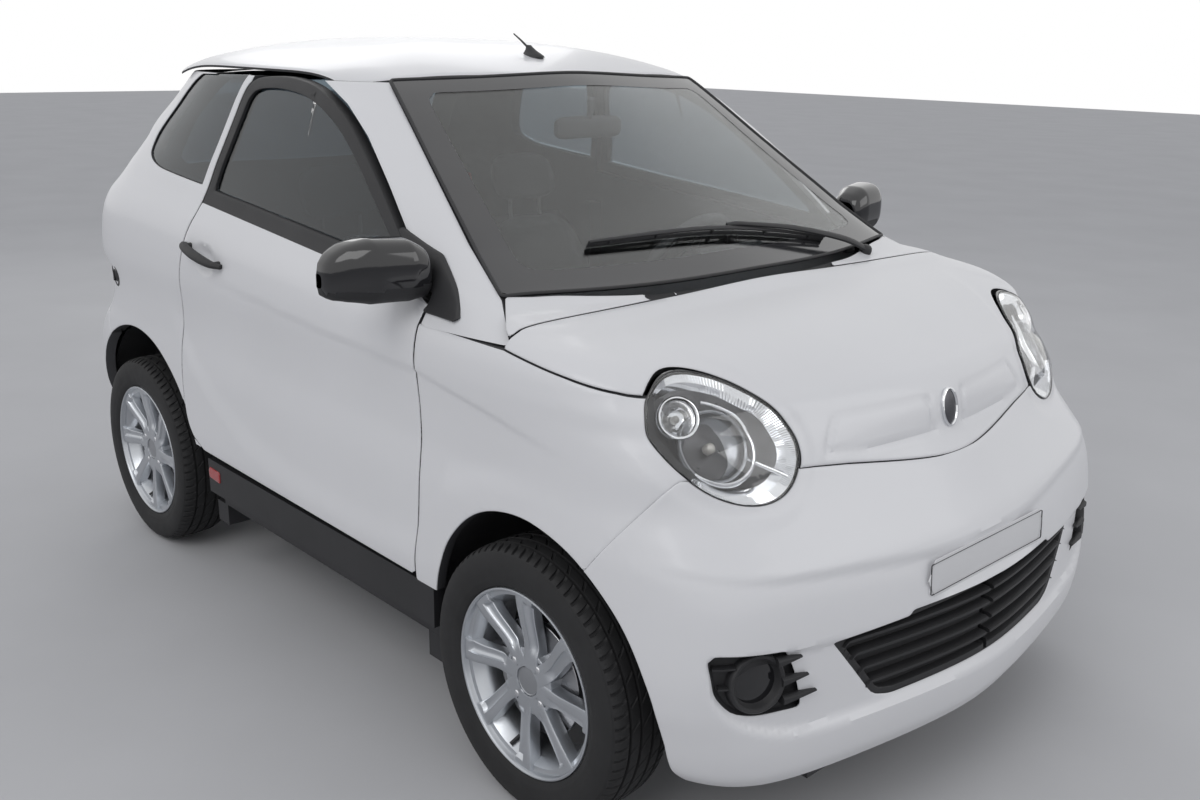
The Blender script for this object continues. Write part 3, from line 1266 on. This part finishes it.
def lamp_ring(scale, depth, count=96):
    """The lamp's outline at a depth."""
    a = turns(count)
    return in_lamp(LAMP_LONG * scale * np.cos(a), LAMP_SHORT * scale * np.sin(a), depth)


lens_part = slab([[(LAMP_LONG * math.cos(a) * 0.985, LAMP_SHORT * math.sin(a) * 0.98)
                   for a in np.linspace(0, 2 * math.pi, 49)]],
                 lambda u, v, d: in_lamp(u, v, d + 0.6), 3.6, 8.0, 2.0)
gasket = loft([lamp_ring(1.0, 1.5), lamp_ring(0.990, 0.4), lamp_ring(0.979, 1.6), lamp_ring(0.981, 16)],
              caps=False)

# Fluted bright ring, deeper at its inner edge, widest inboard and low
FLUTES, FLUTE_DEPTH = 168, 2.4
RING_LONG, RING_SHORT, RING_DEPTH = 129, 97, 26
a = turns(FLUTES * 2)
tooth = np.where(np.arange(FLUTES * 2) % 2 == 0, 0.0, FLUTE_DEPTH)
wide = 9 + 20 * (1 - np.clip(0.5 - 0.5 * np.cos(a - math.radians(205)), 0, 1))
FLUTE_ROWS = ((0, 0, 6.0, 0.4), (0.5, 0.45, 14, 1), (1, 0.9, RING_DEPTH, 1))
fluted = loft([in_lamp((RING_LONG - wide * k) * np.cos(a), (RING_SHORT - wide * m) * np.sin(a),
                       depth + tooth * cut) for k, m, depth, cut in FLUTE_ROWS], caps=False)
housing = loft([in_lamp((RING_LONG - wide) * k * np.cos(a), (RING_SHORT - wide * 0.9) * k * np.sin(a),
                        RING_DEPTH + 26 * (1 - k) ** 0.5) for k in (1.0, 0.92, 0.75, 0.5, 0.25, 0.02)],
               caps=False)


def cup(centre, radius, depth, out, rim, count=72, rings=12):
    """Round reflector: a bowl with a rolled rim; centre is u, v in the lamp."""
    origin = in_lamp(*centre, out)
    n = in_lamp(*centre, 0.0) - in_lamp(*centre, 10.0)
    n /= np.linalg.norm(n)
    n = n * 0.6 + np.array([0.80, -0.30, 0.30]) * 0.4
    n /= np.linalg.norm(n)
    profile = [(radius * math.sin(t), -depth * math.cos(t)) for t in np.linspace(0.02, math.pi / 2, rings)]
    profile += [(radius, 2), (radius + rim * 0.35, 4.5), (radius + rim * 0.7, 4.2), (radius + rim, 1.5),
                (radius + rim, -8)]
    return lathe(profile, origin, n, count), origin, n


big, big_at, big_way = cup((22, -8), 60, 34, 24, 7)
small, small_at, small_way = cup((84, 14), 33, 24, 13, 6)
small_glass = lathe([(0.1, 3.5), (16, 3.2), (27, 1.5), (31.5, -1.5), (31.5, -4), (0.1, -2)], small_at,
                    small_way, 64)
bulb_big = lathe([(0.1, -4), (5, -5), (9, -9), (10, -14), (10, -30)], big_at, big_way, 32)
bulb_small = lathe([(0.1, -3), (4, -4), (7, -8), (7.5, -20)], small_at, small_way, 28)
DIVIDER = ((-36, -13, 20), (-62, -18, 17), (-92, -22, 15), (-116, -25, 12))
divider = sweep(curve_of([tuple(in_lamp(*at)) for at in DIVIDER], 16), np.linspace(7, 4.5, 16), 4.0, 3, 14)
arc = sweep([in_lamp(22 + 69 * math.cos(t), -8 + 69 * math.sin(t), 18 - 6 * math.cos(t - 3.3))
             for t in np.linspace(math.radians(78), math.radians(300), 40)],
            np.sin(np.linspace(0.05, 0.95, 40) * math.pi) * 5.5 + 1.5, 3.0, 3, 12)
LAMP_PIECES = (("lens", lens_part, "lens"), ("gasket", gasket, "gloss_black"), ("flutes", fluted, "chrome"),
               ("housing", housing, "bowl_dark"), ("bowl", big, "bowl"),
               ("bright", merged([small, divider, arc]), "chrome"), ("inner_glass", small_glass, "lens"),
               ("bulbs", merged([bulb_big, bulb_small]), "bulb"))
CARRIES = {"lens": ["headlamp_lenses"], "flutes": ["headlamp_bowls"]}
for side in ("right", "left"):
    for name, part, look in LAMP_PIECES:
        put(on_sides(part, side), "headlamp_" + name + "_" + side, look, replaces=CARRIES.get(name, ()),
            sharp=12 if name == "flutes" else 40)

# Lower grille, fog lamps and the blank plate


def behind_nose(depth):
    """Maps y, z and a depth to points behind the bumper's face, right half."""
    return lambda u, v, d: nose_point(np.minimum(u, -0.01), v, depth + np.asarray(d, float))


GRILLE_OUT = rounded([(-0.5, 490), (-256, 489), (-268, 476), (-449, 471), (-337, 323), (-292, 311),
                      (-0.5, 313)], 14)
GRILLE_IN = rounded([(-0.02, 476), (-262, 465), (-420, 458), (-322, 338), (-284, 331), (-0.02, 333)], 10)
grille_back = slab(GRILLE_OUT, behind_nose(34), 44, 14.0, 1.2)
slats = []
for z in (358, 392, 426, 456):
    y_end = -(330 + (z - 338) * 0.62)
    pts = np.vstack([nose_point(np.linspace(-0.5, y_end, 40), z, 28), nose_point(y_end - 14, z - 7, 26)])
    slats.append(sweep(pts, 15.0, np.concatenate([np.full(39, 5.0), [3.5, 1.0]]), 4, 12, fixed=(0, 0, 1)))
surround = slab(GRILLE_OUT, behind_nose(17), 36, 9.0, 2.0, hollow=[GRILLE_IN])
grille = merged([mirrored(p) if s else p for p in [grille_back, surround] + slats for s in (0, 1)])
put(grille, "lower_grille", "black", "car_body", ["bumper_grilles"])

FOG_OUT = rounded([(-684, 494), (-540, 484), (-519, 440), (-496, 350), (-600, 355), (-644, 369), (-673, 408)],
                  16)
fog_back = slab(FOG_OUT, behind_nose(26), 38, 10.0)
fog_at = nose_point(-600.0, 426.0, 12)
fog_way = np.array([0.9, -0.36, 0.12])
fog_way /= np.linalg.norm(fog_way)
fog_bezel = lathe([(30, -22), (40, -14), (43, -2), (46, 2), (51, 3), (54, 0), (55, -8), (56, -24)], fog_at,
                  fog_way, 64)
fog_glass = lathe([(0.1, -10), (20, -11), (40, -14)], fog_at, fog_way, 48)
fins = []
for z, y_tip, y_root in ((462, -515, -566), (424, -500, -556), (387, -480, -552)):
    ys = np.linspace(y_root, y_tip, 14)
    pts = nose_point(ys, z + 0.03 * (ys - y_tip), np.linspace(12, 7.5, 14))
    fins.append(sweep(pts, np.linspace(13, 4, 14), np.linspace(9, 2.0, 14), 4, 12, fixed=(0, 0, 1)))
for z, y_a, y_b in ((462, -676, -640), (424, -668, -652)):
    fins.append(sweep(nose_point(np.linspace(y_a, y_b, 8), z, 18), 8, 2.5, 4, 10, fixed=(0, 0, 1)))
put(on_sides(merged([fog_back, fog_bezel] + fins), "both"), "fog_lamp_surrounds", "black", "car_body",
    ["bumper_grilles"])
put(on_sides(fog_glass, "both"), "fog_lamp_glass", "gloss_black", "car_body")


def on_plate(u, v, d):
    """Point on the number plate's leaning face."""
    return np.stack([1347.4 - 7.0 * (v - 531) / 95.0 - d, u, v], -1)


PLATE = rounded([(-216, 493), (216, 493), (216, 565), (-216, 565)], 5)
PLATE_LINE = smooth(rounded([(-209, 499), (209, 499), (209, 559), (-209, 559)], 4), 1)
put(slab(PLATE, on_plate, 2.0, 20, 0.5), "blank_front_plate", "plate", "car_body")
line_path = on_plate(PLATE_LINE[:, 0], PLATE_LINE[:, 1], -0.1)
put(sweep(np.vstack([line_path, line_path[:1]]), 0.4, 1.2, 4, 6, ends=False, fixed=(1, 0, 0)),
    "plate_border_line", "black", "car_body")

# Badge without a sign: bright oval ring round a plain dark field
badge_place = np.array([1225.0, 0, 796.0])
tilt = math.radians(12)
badge_up = np.array([-math.sin(tilt), 0, math.cos(tilt)])
badge_out = np.array([math.cos(tilt), 0, math.sin(tilt)])


def badge_loft(*rings):
    """Ovals of half width, half height and lift, one after another."""
    a = turns(64)
    return loft([badge_place + np.outer(ry * np.cos(a), (0, 1, 0)) + np.outer(rz * np.sin(a), badge_up)
                 + badge_out * lift for ry, rz, lift in rings], caps=False)


badge = badge_loft((26, 38, -4), (27.5, 39.5, 3), (26.5, 38.5, 6), (24, 36, 6.5), (22.5, 34.5, 4.2),
                   (22, 34, 3.2))
field = badge_loft((22.4, 34.4, 3.4), (16, 26, 5.2), (8, 14, 6.0), (0.2, 0.3, 6.2))
put(badge, "hood_badge_ring", "chrome", "hood", ["hood_emblem"])
put(field, "hood_badge_field", "chrome_dark", "hood")

# Red reflectors on the sills, and the fuel cap
reflector = slab(rounded([(-536, 322), (-474, 318), (-474, 350), (-536, 352)], 4),
                 lambda u, v, d: np.stack([u, -738.5 + d, v], -1), 4, 6)
put(on_sides(reflector, "both"), "sill_reflectors", "red", "car_body")
cap_at = at_side(-1086, 792)
cap_n = np.cross(at_side(-1080, 792) - at_side(-1092, 792), at_side(-1086, 798) - at_side(-1086, 786))
cap_n /= np.linalg.norm(cap_n)
cap_n = cap_n if cap_n[1] < 0 else -cap_n
fuel = merged([lathe([(34, -6), (34, 0.8), (31, 2.2), (27, 1.6), (25, -6)], cap_at, cap_n, 56),
               lathe([(0.1, 3), (8, 3), (18, 1.5), (22, -2), (24.5, -6)], cap_at, cap_n, 48),
               sweep([cap_at + cap_n * 4 + (0, 0, -15), cap_at + cap_n * 4 + (0, 0, 15)], 3.5, 3, 3, 12)])
put(fuel, "fuel_cap", "black", "car_body")

# Wheels
WHEELS = {"fr": (802.0, -672.0), "fl": (802.0, 672.0), "rr": (-978.0, -660.0), "rl": (-978.0, 660.0)}
HUB_Z = 278.0


def wheel_place(part, x, y):
    """Turns a wheel part from (right, outward, up) as seen from outside to its place on the car."""
    v, f = part
    v = np.array(v, float)
    s = -1.0 if y < 0 else 1.0
    out = np.stack([x - s * v[:, 0], y + s * v[:, 1], HUB_Z + v[:, 2]], -1)
    return out, [tuple(reversed(face)) for face in f]


# Tyre section, half: distance from the middle and radius
SECTION = [(0, 278.0), (10, 277.9), (11.5, 277.8), (12.3, 271.5), (18.2, 271.5), (19, 277.6), (28, 277.3),
           (37, 276.9), (38, 276.6), (38.8, 270.4), (44.2, 270.2), (45, 276.2), (52, 275.3), (60, 273.0),
           (66, 270.0), (70.5, 266.0), (73, 261.5), (74.8, 256), (75.2, 254), (76.4, 250), (77.2, 240),
           (77.3, 231), (76.6, 222), (75.9, 219.5), (75.6, 215), (74.4, 209), (73.9, 207.6), (73.0, 205.5),
           (71.5, 201), (69.6, 197.6), (68.5, 196.2), (63, 193.5), (57, 186)]
PITCHES = 76
PHASE = (0.0, 0.62, 0.70, 0.92)
TREAD_LEAN = 0.022
SHOULDER_CUT, BLOCK_CUT, RIB_CUT = 5.0, 3.2, 2.6


def tyre_part():
    """Tyre with three grooves and cross cuts; each pitch of the tread is four rings of points."""
    half = np.array(SECTION, float)
    full = np.vstack([half[::-1] * (-1, 1), half[1:]])
    rings = []
    for k in range(PITCHES):
        for j, t in enumerate(PHASE):
            turned = 2 * math.pi * (k + t) / PITCHES
            ring = []
            for y, r in full:
                ay = abs(y)
                lean = TREAD_LEAN * math.sin(min(ay, 70) / 70 * 1.5) * (1 if y > 0 else -1)
                cutting = j >= 2
                if cutting and 45.5 < ay < 71 and r > 262:
                    r = r - SHOULDER_CUT * min(1.0, (71 - ay) / 6.0)
                elif cutting and 19.5 < ay < 37.5 and k % 2 == 0 and r > 274:
                    r = r - BLOCK_CUT
                elif cutting and ay < 11 and k % 2 == 1 and r > 274:
                    r = r - RIB_CUT
                a = turned + lean * (8 if ay < 72 else 0)
                ring.append((math.sin(a) * r, y, math.cos(a) * r))
            rings.append(ring)
    n = len(full)
    verts = np.array(rings).reshape(-1, 3)
    faces = []
    total = len(rings)
    for i in range(total):
        j = (i + 1) % total
        for k in range(n - 1):
            faces.append((i * n + k, i * n + k + 1, j * n + k + 1, j * n + k))
        faces.append((i * n + n - 1, i * n, j * n, j * n + n - 1))
    return verts, faces


def spoke_part(angle):
    """One swept spoke: a flat face with a scooped ledge along its clockwise side."""
    rings = []
    for r in np.concatenate([np.linspace(30, 150, 20), np.linspace(156, 187, 10)]):
        centre = 3.0 - 20.0 * float(soft((r - 58) / 125.0))
        w = float(np.interp(r, (30, 60, 90, 130, 165, 187), (22, 20, 18.5, 20.0, 22.5, 25.5)))
        high = 54.0 + 11.5 * float(soft((r - 62) / 120.0))
        scoop = 8.5 * float(soft((r - 60) / 26.0) * (1 - soft((r - 166) / 9.0)))
        back = 26.0 + 4 * float(soft((r - 150) / 30.0))
        line = []
        for t, extra in ((-1.0, 3.0), (-0.97, 1.0), (-0.9, 0.2), (-0.5, 0.0), (-0.06, 0.0), (0.0, 0.5),
                         (0.10, 0.72), (0.22, 0.92), (0.45, 1.06), (0.7, 1.0), (0.9, 0.86), (0.97, 0.95),
                         (1.0, 1.5)):
            if t <= -0.05:
                d = extra if t < -0.6 else 0.0
            else:
                d = scoop * min(extra, 1.1) + (2.0 if t > 0.99 else (0.5 if t > 0.95 else 0.0))
            line.append((centre + t * w, high - d))
        line += [(centre + t * w, high - back - low)
                 for t, low in ((1.06, 0), (0.8, 5), (-0.8, 5), (-1.06, 0))]
        rings.append([(u, a, r) for u, a in line])
    v, f = loft(rings)
    c, s = math.cos(angle), math.sin(angle)
    return np.stack([v[:, 0] * c + v[:, 2] * s, v[:, 1], -v[:, 0] * s + v[:, 2] * c], -1), f


LIP = [(194.0, 62), (194.3, 67.5), (193.0, 70.2), (190.5, 71.0), (188.0, 69.8), (186.0, 66), (185.2, 58),
       (182.5, 54.5), (178.5, 53), (177.6, 46), (174.0, 43), (170.8, 41.5), (169.8, 33), (166, 30),
       (163.5, 20), (162.5, -18), (168, -36), (172, -52), (186, -58), (193.5, -60), (193.5, -62),
       (186, -62.5), (176, -57), (167, -48), (157, -30), (157, 20), (163, 36), (176, 56), (186, 58),
       (194.0, 62)]
SPOKES, BOLTS = 8, 4
RIM_TURN = 0.1
BOLT_R = 50.0
spokes = [spoke_part(2 * math.pi * k / SPOKES + RIM_TURN) for k in range(SPOKES)]
bolt_at = [(BOLT_R * math.cos(a), BOLT_R * math.sin(a))
           for a in [math.pi / 4 + math.pi / 2 * k + RIM_TURN for k in range(BOLTS)]]
holes = [round_line(12.5, 25, x, z) for x, z in bolt_at] + [round_line(30.5, 37)]
hub_face = slab(round_line(69, 49), lambda u, v, d: np.stack([u, 55.4 - d - 0.0009 * (u * u + v * v), v], -1),
                26, 4.0, 2.2, hollow=holes)
cap_disc = lathe([(30.3, 40), (30.3, 50.5), (29.2, 52.4), (28.0, 52.6), (26.6, 51.6), (20, 52.4), (9, 52.9),
                  (0.1, 53)], count=72)
cups = [lathe([(12.4, 52), (12.2, 48), (10.8, 42), (0.1, 41)], (x, 0, z), count=32) for x, z in bolt_at]


def hexagon(i, k, r):
    """Six flats on the round profile."""
    a = (i % 6) / 6.0 * math.pi / 3
    return r * math.cos(math.pi / 6) / math.cos(a - math.pi / 6) if 1 < k < 5 else r


bolts = [lathe([(0.1, 55.5), (4, 55.3), (6.8, 54), (7.8, 52), (8.2, 46), (10.6, 44.5), (10.8, 42)],
               (x, 0, z), count=36, wave=hexagon) for x, z in bolt_at]
valve = sweep([(-46, 34, -150), (-50, 56, -162)], [4.2, 3.4], count=14)
disc = lathe([(42, 12), (64, 12), (66, 15), (118, 15), (119, 16), (119, 24), (118, 25), (64, 25), (62, 34),
              (42, 36), (0.1, 36)], count=96)
drum_hub = lathe([(34, 10), (58, 12), (60, 30), (52, 37), (0.1, 38)])
WHEEL_PIECES = (
    ("tread_tyre_", tyre_part(), "tyre", "tyre_", 32),
    ("alloy_wheel_", merged([lathe(LIP, count=144), hub_face] + spokes + cups), "alloy", "rim_", 34),
    ("wheel_cap_", cap_disc, "alloy_cap", None, 40),
    ("wheel_bolts_", merged(bolts), "chrome", None, 25),
    ("tyre_valve_", valve, "black", None, 40),
    ("brake_disc_", merged([disc, drum_hub]), "disc", None, 40),
)
for wheel, (x, y) in WHEELS.items():
    for name, part, look, solid, sharp in WHEEL_PIECES:
        put(wheel_place(part, x, y), name + wheel, look, "wheel_" + wheel, [solid + wheel] if solid else (),
            sharp=sharp)

# Seats: plinth and back shell as mouldings, three upholstered pads each
SEAT_Y = -325.0
PAD_VOXEL = 0.013
PAD_SWELL = 0.014


def seat_line(points, count):
    """Smooth line in the seat's middle plane."""
    return curve_of([(x, SEAT_Y, z) for x, z in points], count)


def taper(count, at, sizes):
    """Sizes at even steps, straight between the given ones."""
    return np.interp(np.linspace(0, 1, count), at, sizes)


def swollen(part, frames_run=20):
    """Closed form blown up as cloth: its points after the run, none moved further than the cap."""
    mesh = bpy.data.meshes.new("pad")
    mesh.from_pydata([tuple(p) for p in np.array(part[0]) * MM], [], part[1])
    o = add_object("pad", mesh)
    m = o.modifiers.new("remesh", "REMESH")
    m.mode = "VOXEL"
    m.voxel_size = PAD_VOXEL
    graph = bpy.context.evaluated_depsgraph_get()
    fine = bpy.data.meshes.new_from_object(o.evaluated_get(graph))
    o.modifiers.clear()
    o.data = fine
    start = np.array([v.co for v in fine.vertices])
    m = o.modifiers.new("cloth", "CLOTH")
    m.settings.use_pressure = True
    m.settings.uniform_pressure_force = 4.0
    m.settings.effector_weights.gravity = 0.0
    m.point_cache.frame_start = 1
    m.point_cache.frame_end = frames_run
    for k in range(1, frames_run + 1):
        bpy.context.scene.frame_set(k)
    graph = bpy.context.evaluated_depsgraph_get()
    blown = bpy.data.meshes.new_from_object(o.evaluated_get(graph))
    moved = np.array([v.co for v in blown.vertices]) - start
    far = np.linalg.norm(moved, axis=1)
    start += moved * np.minimum(1.0, PAD_SWELL / np.maximum(far, 1e-9))[:, None]
    bpy.context.scene.frame_set(1)
    faces = [tuple(f.vertices) for f in fine.polygons]
    bpy.data.objects.remove(o)
    return start / MM, faces


def seamed(part, seams, depth=5.0, wide=7.0):
    """Sewn channels pressed into a pad along lines of points."""
    v, f = part
    centre = v.mean(0)
    for seam in seams:
        line = curve_of(seam, 120)
        gap = np.min(np.linalg.norm(v[:, None, :] - line[None], axis=2), axis=1)
        inward = centre - v
        inward /= np.maximum(np.linalg.norm(inward, axis=1), 1.0)[:, None]
        v = v + inward * (depth * np.exp(-(gap / wide) ** 2))[:, None]
    return v, f


CUSHION_WIDE = [150, 188, 200, 206, 208, 209] + [210] * 9 + [209, 208, 206, 202, 196, 180, 146]
CUSHION_TALL = [14, 24, 28, 29, 30, 31, 32, 33, 34, 35, 36, 36, 37, 37, 37, 37, 36, 34, 32, 28, 22, 12]
cushion_path = seat_line([(-258, 415), (-200, 415), (-90, 418), (30, 429), (110, 432), (156, 420)], 22)
cushion = swollen(sweep(cushion_path, CUSHION_WIDE, CUSHION_TALL, 4.0, 44, fixed=(0, 0, 1)))
cushion = seamed(cushion, [[(-230, SEAT_Y + s, 446), (-90, SEAT_Y + s, 452), (40, SEAT_Y + s, 466),
                            (140, SEAT_Y + s * 1.05, 458)] for s in (-138, 138)]
                 + [[(70, SEAT_Y - 138, 470), (74, SEAT_Y, 472), (70, SEAT_Y + 138, 470)]])
back_path = [(-294, 474), (-318, 530), (-345, 610), (-398, 775), (-438, 892), (-464, 962)]
BACK_WIDE = [140, 176, 190, 198, 203, 206, 208, 209] + [210] * 4 + [209, 208, 206, 203, 199, 194, 188, 180,
                                                                   170, 156, 136, 100]
BACK_TALL = [14, 24, 29, 31, 32] + [33] * 10 + [32, 32, 31, 30, 29, 27, 24, 19, 11]
back = swollen(sweep(seat_line(back_path, 24), BACK_WIDE, BACK_TALL, 4.0, 44, fixed=(1, 0, 0)))
back = seamed(back, [[(x + 34, SEAT_Y + s * w, z + 8)
                      for (x, z), w in zip(back_path, (0.9, 1, 1.05, 1.05, 1, 0.85))] for s in (-128, 128)]
              + [[(-350, SEAT_Y - 128, 780), (-352, SEAT_Y, 786), (-350, SEAT_Y + 128, 780)]])
rest = swollen(sweep(seat_line([(-470, 1000), (-484, 1050), (-504, 1104), (-520, 1136)], 12),
                     [80, 104, 112, 116, 118, 118, 118, 117, 114, 108, 96, 66],
                     [12, 22, 27, 29, 30, 30, 29, 28, 26, 22, 17, 9], 3.6, 36, fixed=(1, 0, 0)))
back_shell = sweep(seat_line([(-352, 402), (-386, 520), (-430, 690), (-478, 860), (-500, 950)], 18),
                   taper(18, [0, 0.06, 0.5, 0.9, 1], [170, 205, 216, 196, 150]),
                   taper(18, [0, 0.06, 0.5, 0.9, 1], [14, 26, 30, 24, 12]), 5.0, 40, fixed=(1, 0, 0))
plinth = sweep(seat_line([(-95, 247.5), (-95, 262), (-92, 300), (-84, 372), (-60, 392)], 14),
               taper(14, [0, 0.1, 0.6, 1], [186, 180, 188, 214]),
               taper(14, [0, 0.1, 0.6, 1], [205, 198, 200, 206]), 6.0, 40, fixed=(1, 0, 0))
rest_posts = merged([sweep([(-479, SEAT_Y + s, 948), (-483, SEAT_Y + s, 1016)], 6, count=14)
                     for s in (-58, 58)])
PADS = ((cushion, "seat_cushion_", 0.7), (back, "seat_back_", 0.7), (rest, "head_restraint_", 0.75))
for side in ("right", "left"):
    for part, name, fill in PADS:
        o = put(on_sides(part, side), name + side, "cloth", "car_body", ["seats"], subsurf=1)
    put(on_sides(merged([back_shell, plinth]), side), "seat_shell_" + side, "trim", "car_body", ["seats"])
    put(on_sides(rest_posts, side), "head_restraint_posts_" + side, "steel", "car_body", ["seats"])

# Inside mirror on a short stem at the top of the screen
glass_top = float(top_z(170, 1)) - 12
stem = sweep([(170, 0, glass_top), (168, 0, glass_top - 34), (160, 0, glass_top - 58)], [13, 8, 8], count=16)
back_of = sweep(
    curve_of([(160, -108, glass_top - 74), (158, 0, glass_top - 72), (160, 108, glass_top - 74)], 16),
    taper(16, [0, 0.08, 0.92, 1], [8, 13, 13, 8]), taper(16, [0, 0.08, 0.92, 1], [18, 27, 27, 18]),
    3.4, 28, fixed=(0, 0, 1))
put(merged([stem, back_of]), "inside_mirror", "trim", "car_body", subsurf=1)

# Camera, light and stage
AZ, EL, ROLL = (math.radians(a) for a in (46.732, 16.862, 1.085))
back = Vector((math.sin(AZ) * math.cos(EL), -math.cos(AZ) * math.cos(EL), math.sin(EL)))
right = Vector((math.cos(AZ), math.sin(AZ), 0))
up = right.cross(-back)
right2 = right * math.cos(ROLL) + up * math.sin(ROLL)
up2 = up * math.cos(ROLL) - right * math.sin(ROLL)
camera_data = bpy.data.cameras.new("camera")
camera_data.sensor_width = 36
camera_data.lens = 35.37
camera = add_object("camera", camera_data)
camera.matrix_world = Matrix(((right2.x, up2.x, back.x, 2.374), (right2.y, up2.y, back.y, -2.025),
                              (right2.z, up2.z, back.z, 1.470), (0, 0, 0, 1)))
bpy.context.scene.camera = camera


def lamp(name, place, aim, size, power):
    """Rectangular light that looks at a point."""
    data = bpy.data.lights.new(name, "AREA")
    data.shape = "RECTANGLE"
    data.size, data.size_y = size
    data.energy = power
    o = add_object(name, data)
    o.location = place
    o.rotation_euler = (Vector(aim) - Vector(place)).to_track_quat("-Z", "Y").to_euler()


lamp("key", (1.5, -4.5, 4.5), (0, 0, 0.5), (4, 3), 80)
lamp("fill", (5.0, 2.5, 3.0), (0.3, 0, 0.6), (3, 3), 40)
lamp("rim", (-4.5, 2.5, 3.5), (0, 0, 0.8), (3, 2), 30)
world = bpy.data.worlds.new("studio")
bpy.context.scene.world = world
world.use_nodes = True
wt = world.node_tree
bg, white = wt.nodes["Background"], wt.nodes.new("ShaderNodeBackground")
for node, colour, strength in ((bg, (0.93, 0.95, 1.0, 1), 0.48), (white, (1, 1, 1, 1), 1.0)):
    node.inputs["Color"].default_value = colour
    node.inputs["Strength"].default_value = strength
path = wt.nodes.new("ShaderNodeLightPath")
seen = path.outputs["Is Camera Ray"]
for ray in ("Is Transmission Ray", "Is Glossy Ray"):
    either = wt.nodes.new("ShaderNodeMath")
    either.operation = "MAXIMUM"
    link(wt, seen, either.inputs[0])
    link(wt, path.outputs[ray], either.inputs[1])
    seen = either.outputs["Value"]
mix = wt.nodes.new("ShaderNodeMixShader")
link(wt, seen, mix.inputs["Fac"])
link(wt, bg.outputs["Background"], mix.inputs[1])
link(wt, white.outputs["Background"], mix.inputs[2])
link(wt, mix.outputs["Shader"], wt.nodes["World Output"].inputs["Surface"])

GROUND = 30.0
floor_mesh = bpy.data.meshes.new("ground")
floor_mesh.from_pydata([(-GROUND, -GROUND, 0), (GROUND, -GROUND, 0), (GROUND, GROUND, 0),
                        (-GROUND, GROUND, 0)], [], [(0, 1, 2, 3)])
ground = add_object("ground", floor_mesh)
ground.data.materials.append(material("ground_pale", (0.62, 0.62, 0.63), 0.85, tone=0.03, tone_scale=1.5))

bpy.context.scene.view_settings.view_transform = "Standard"
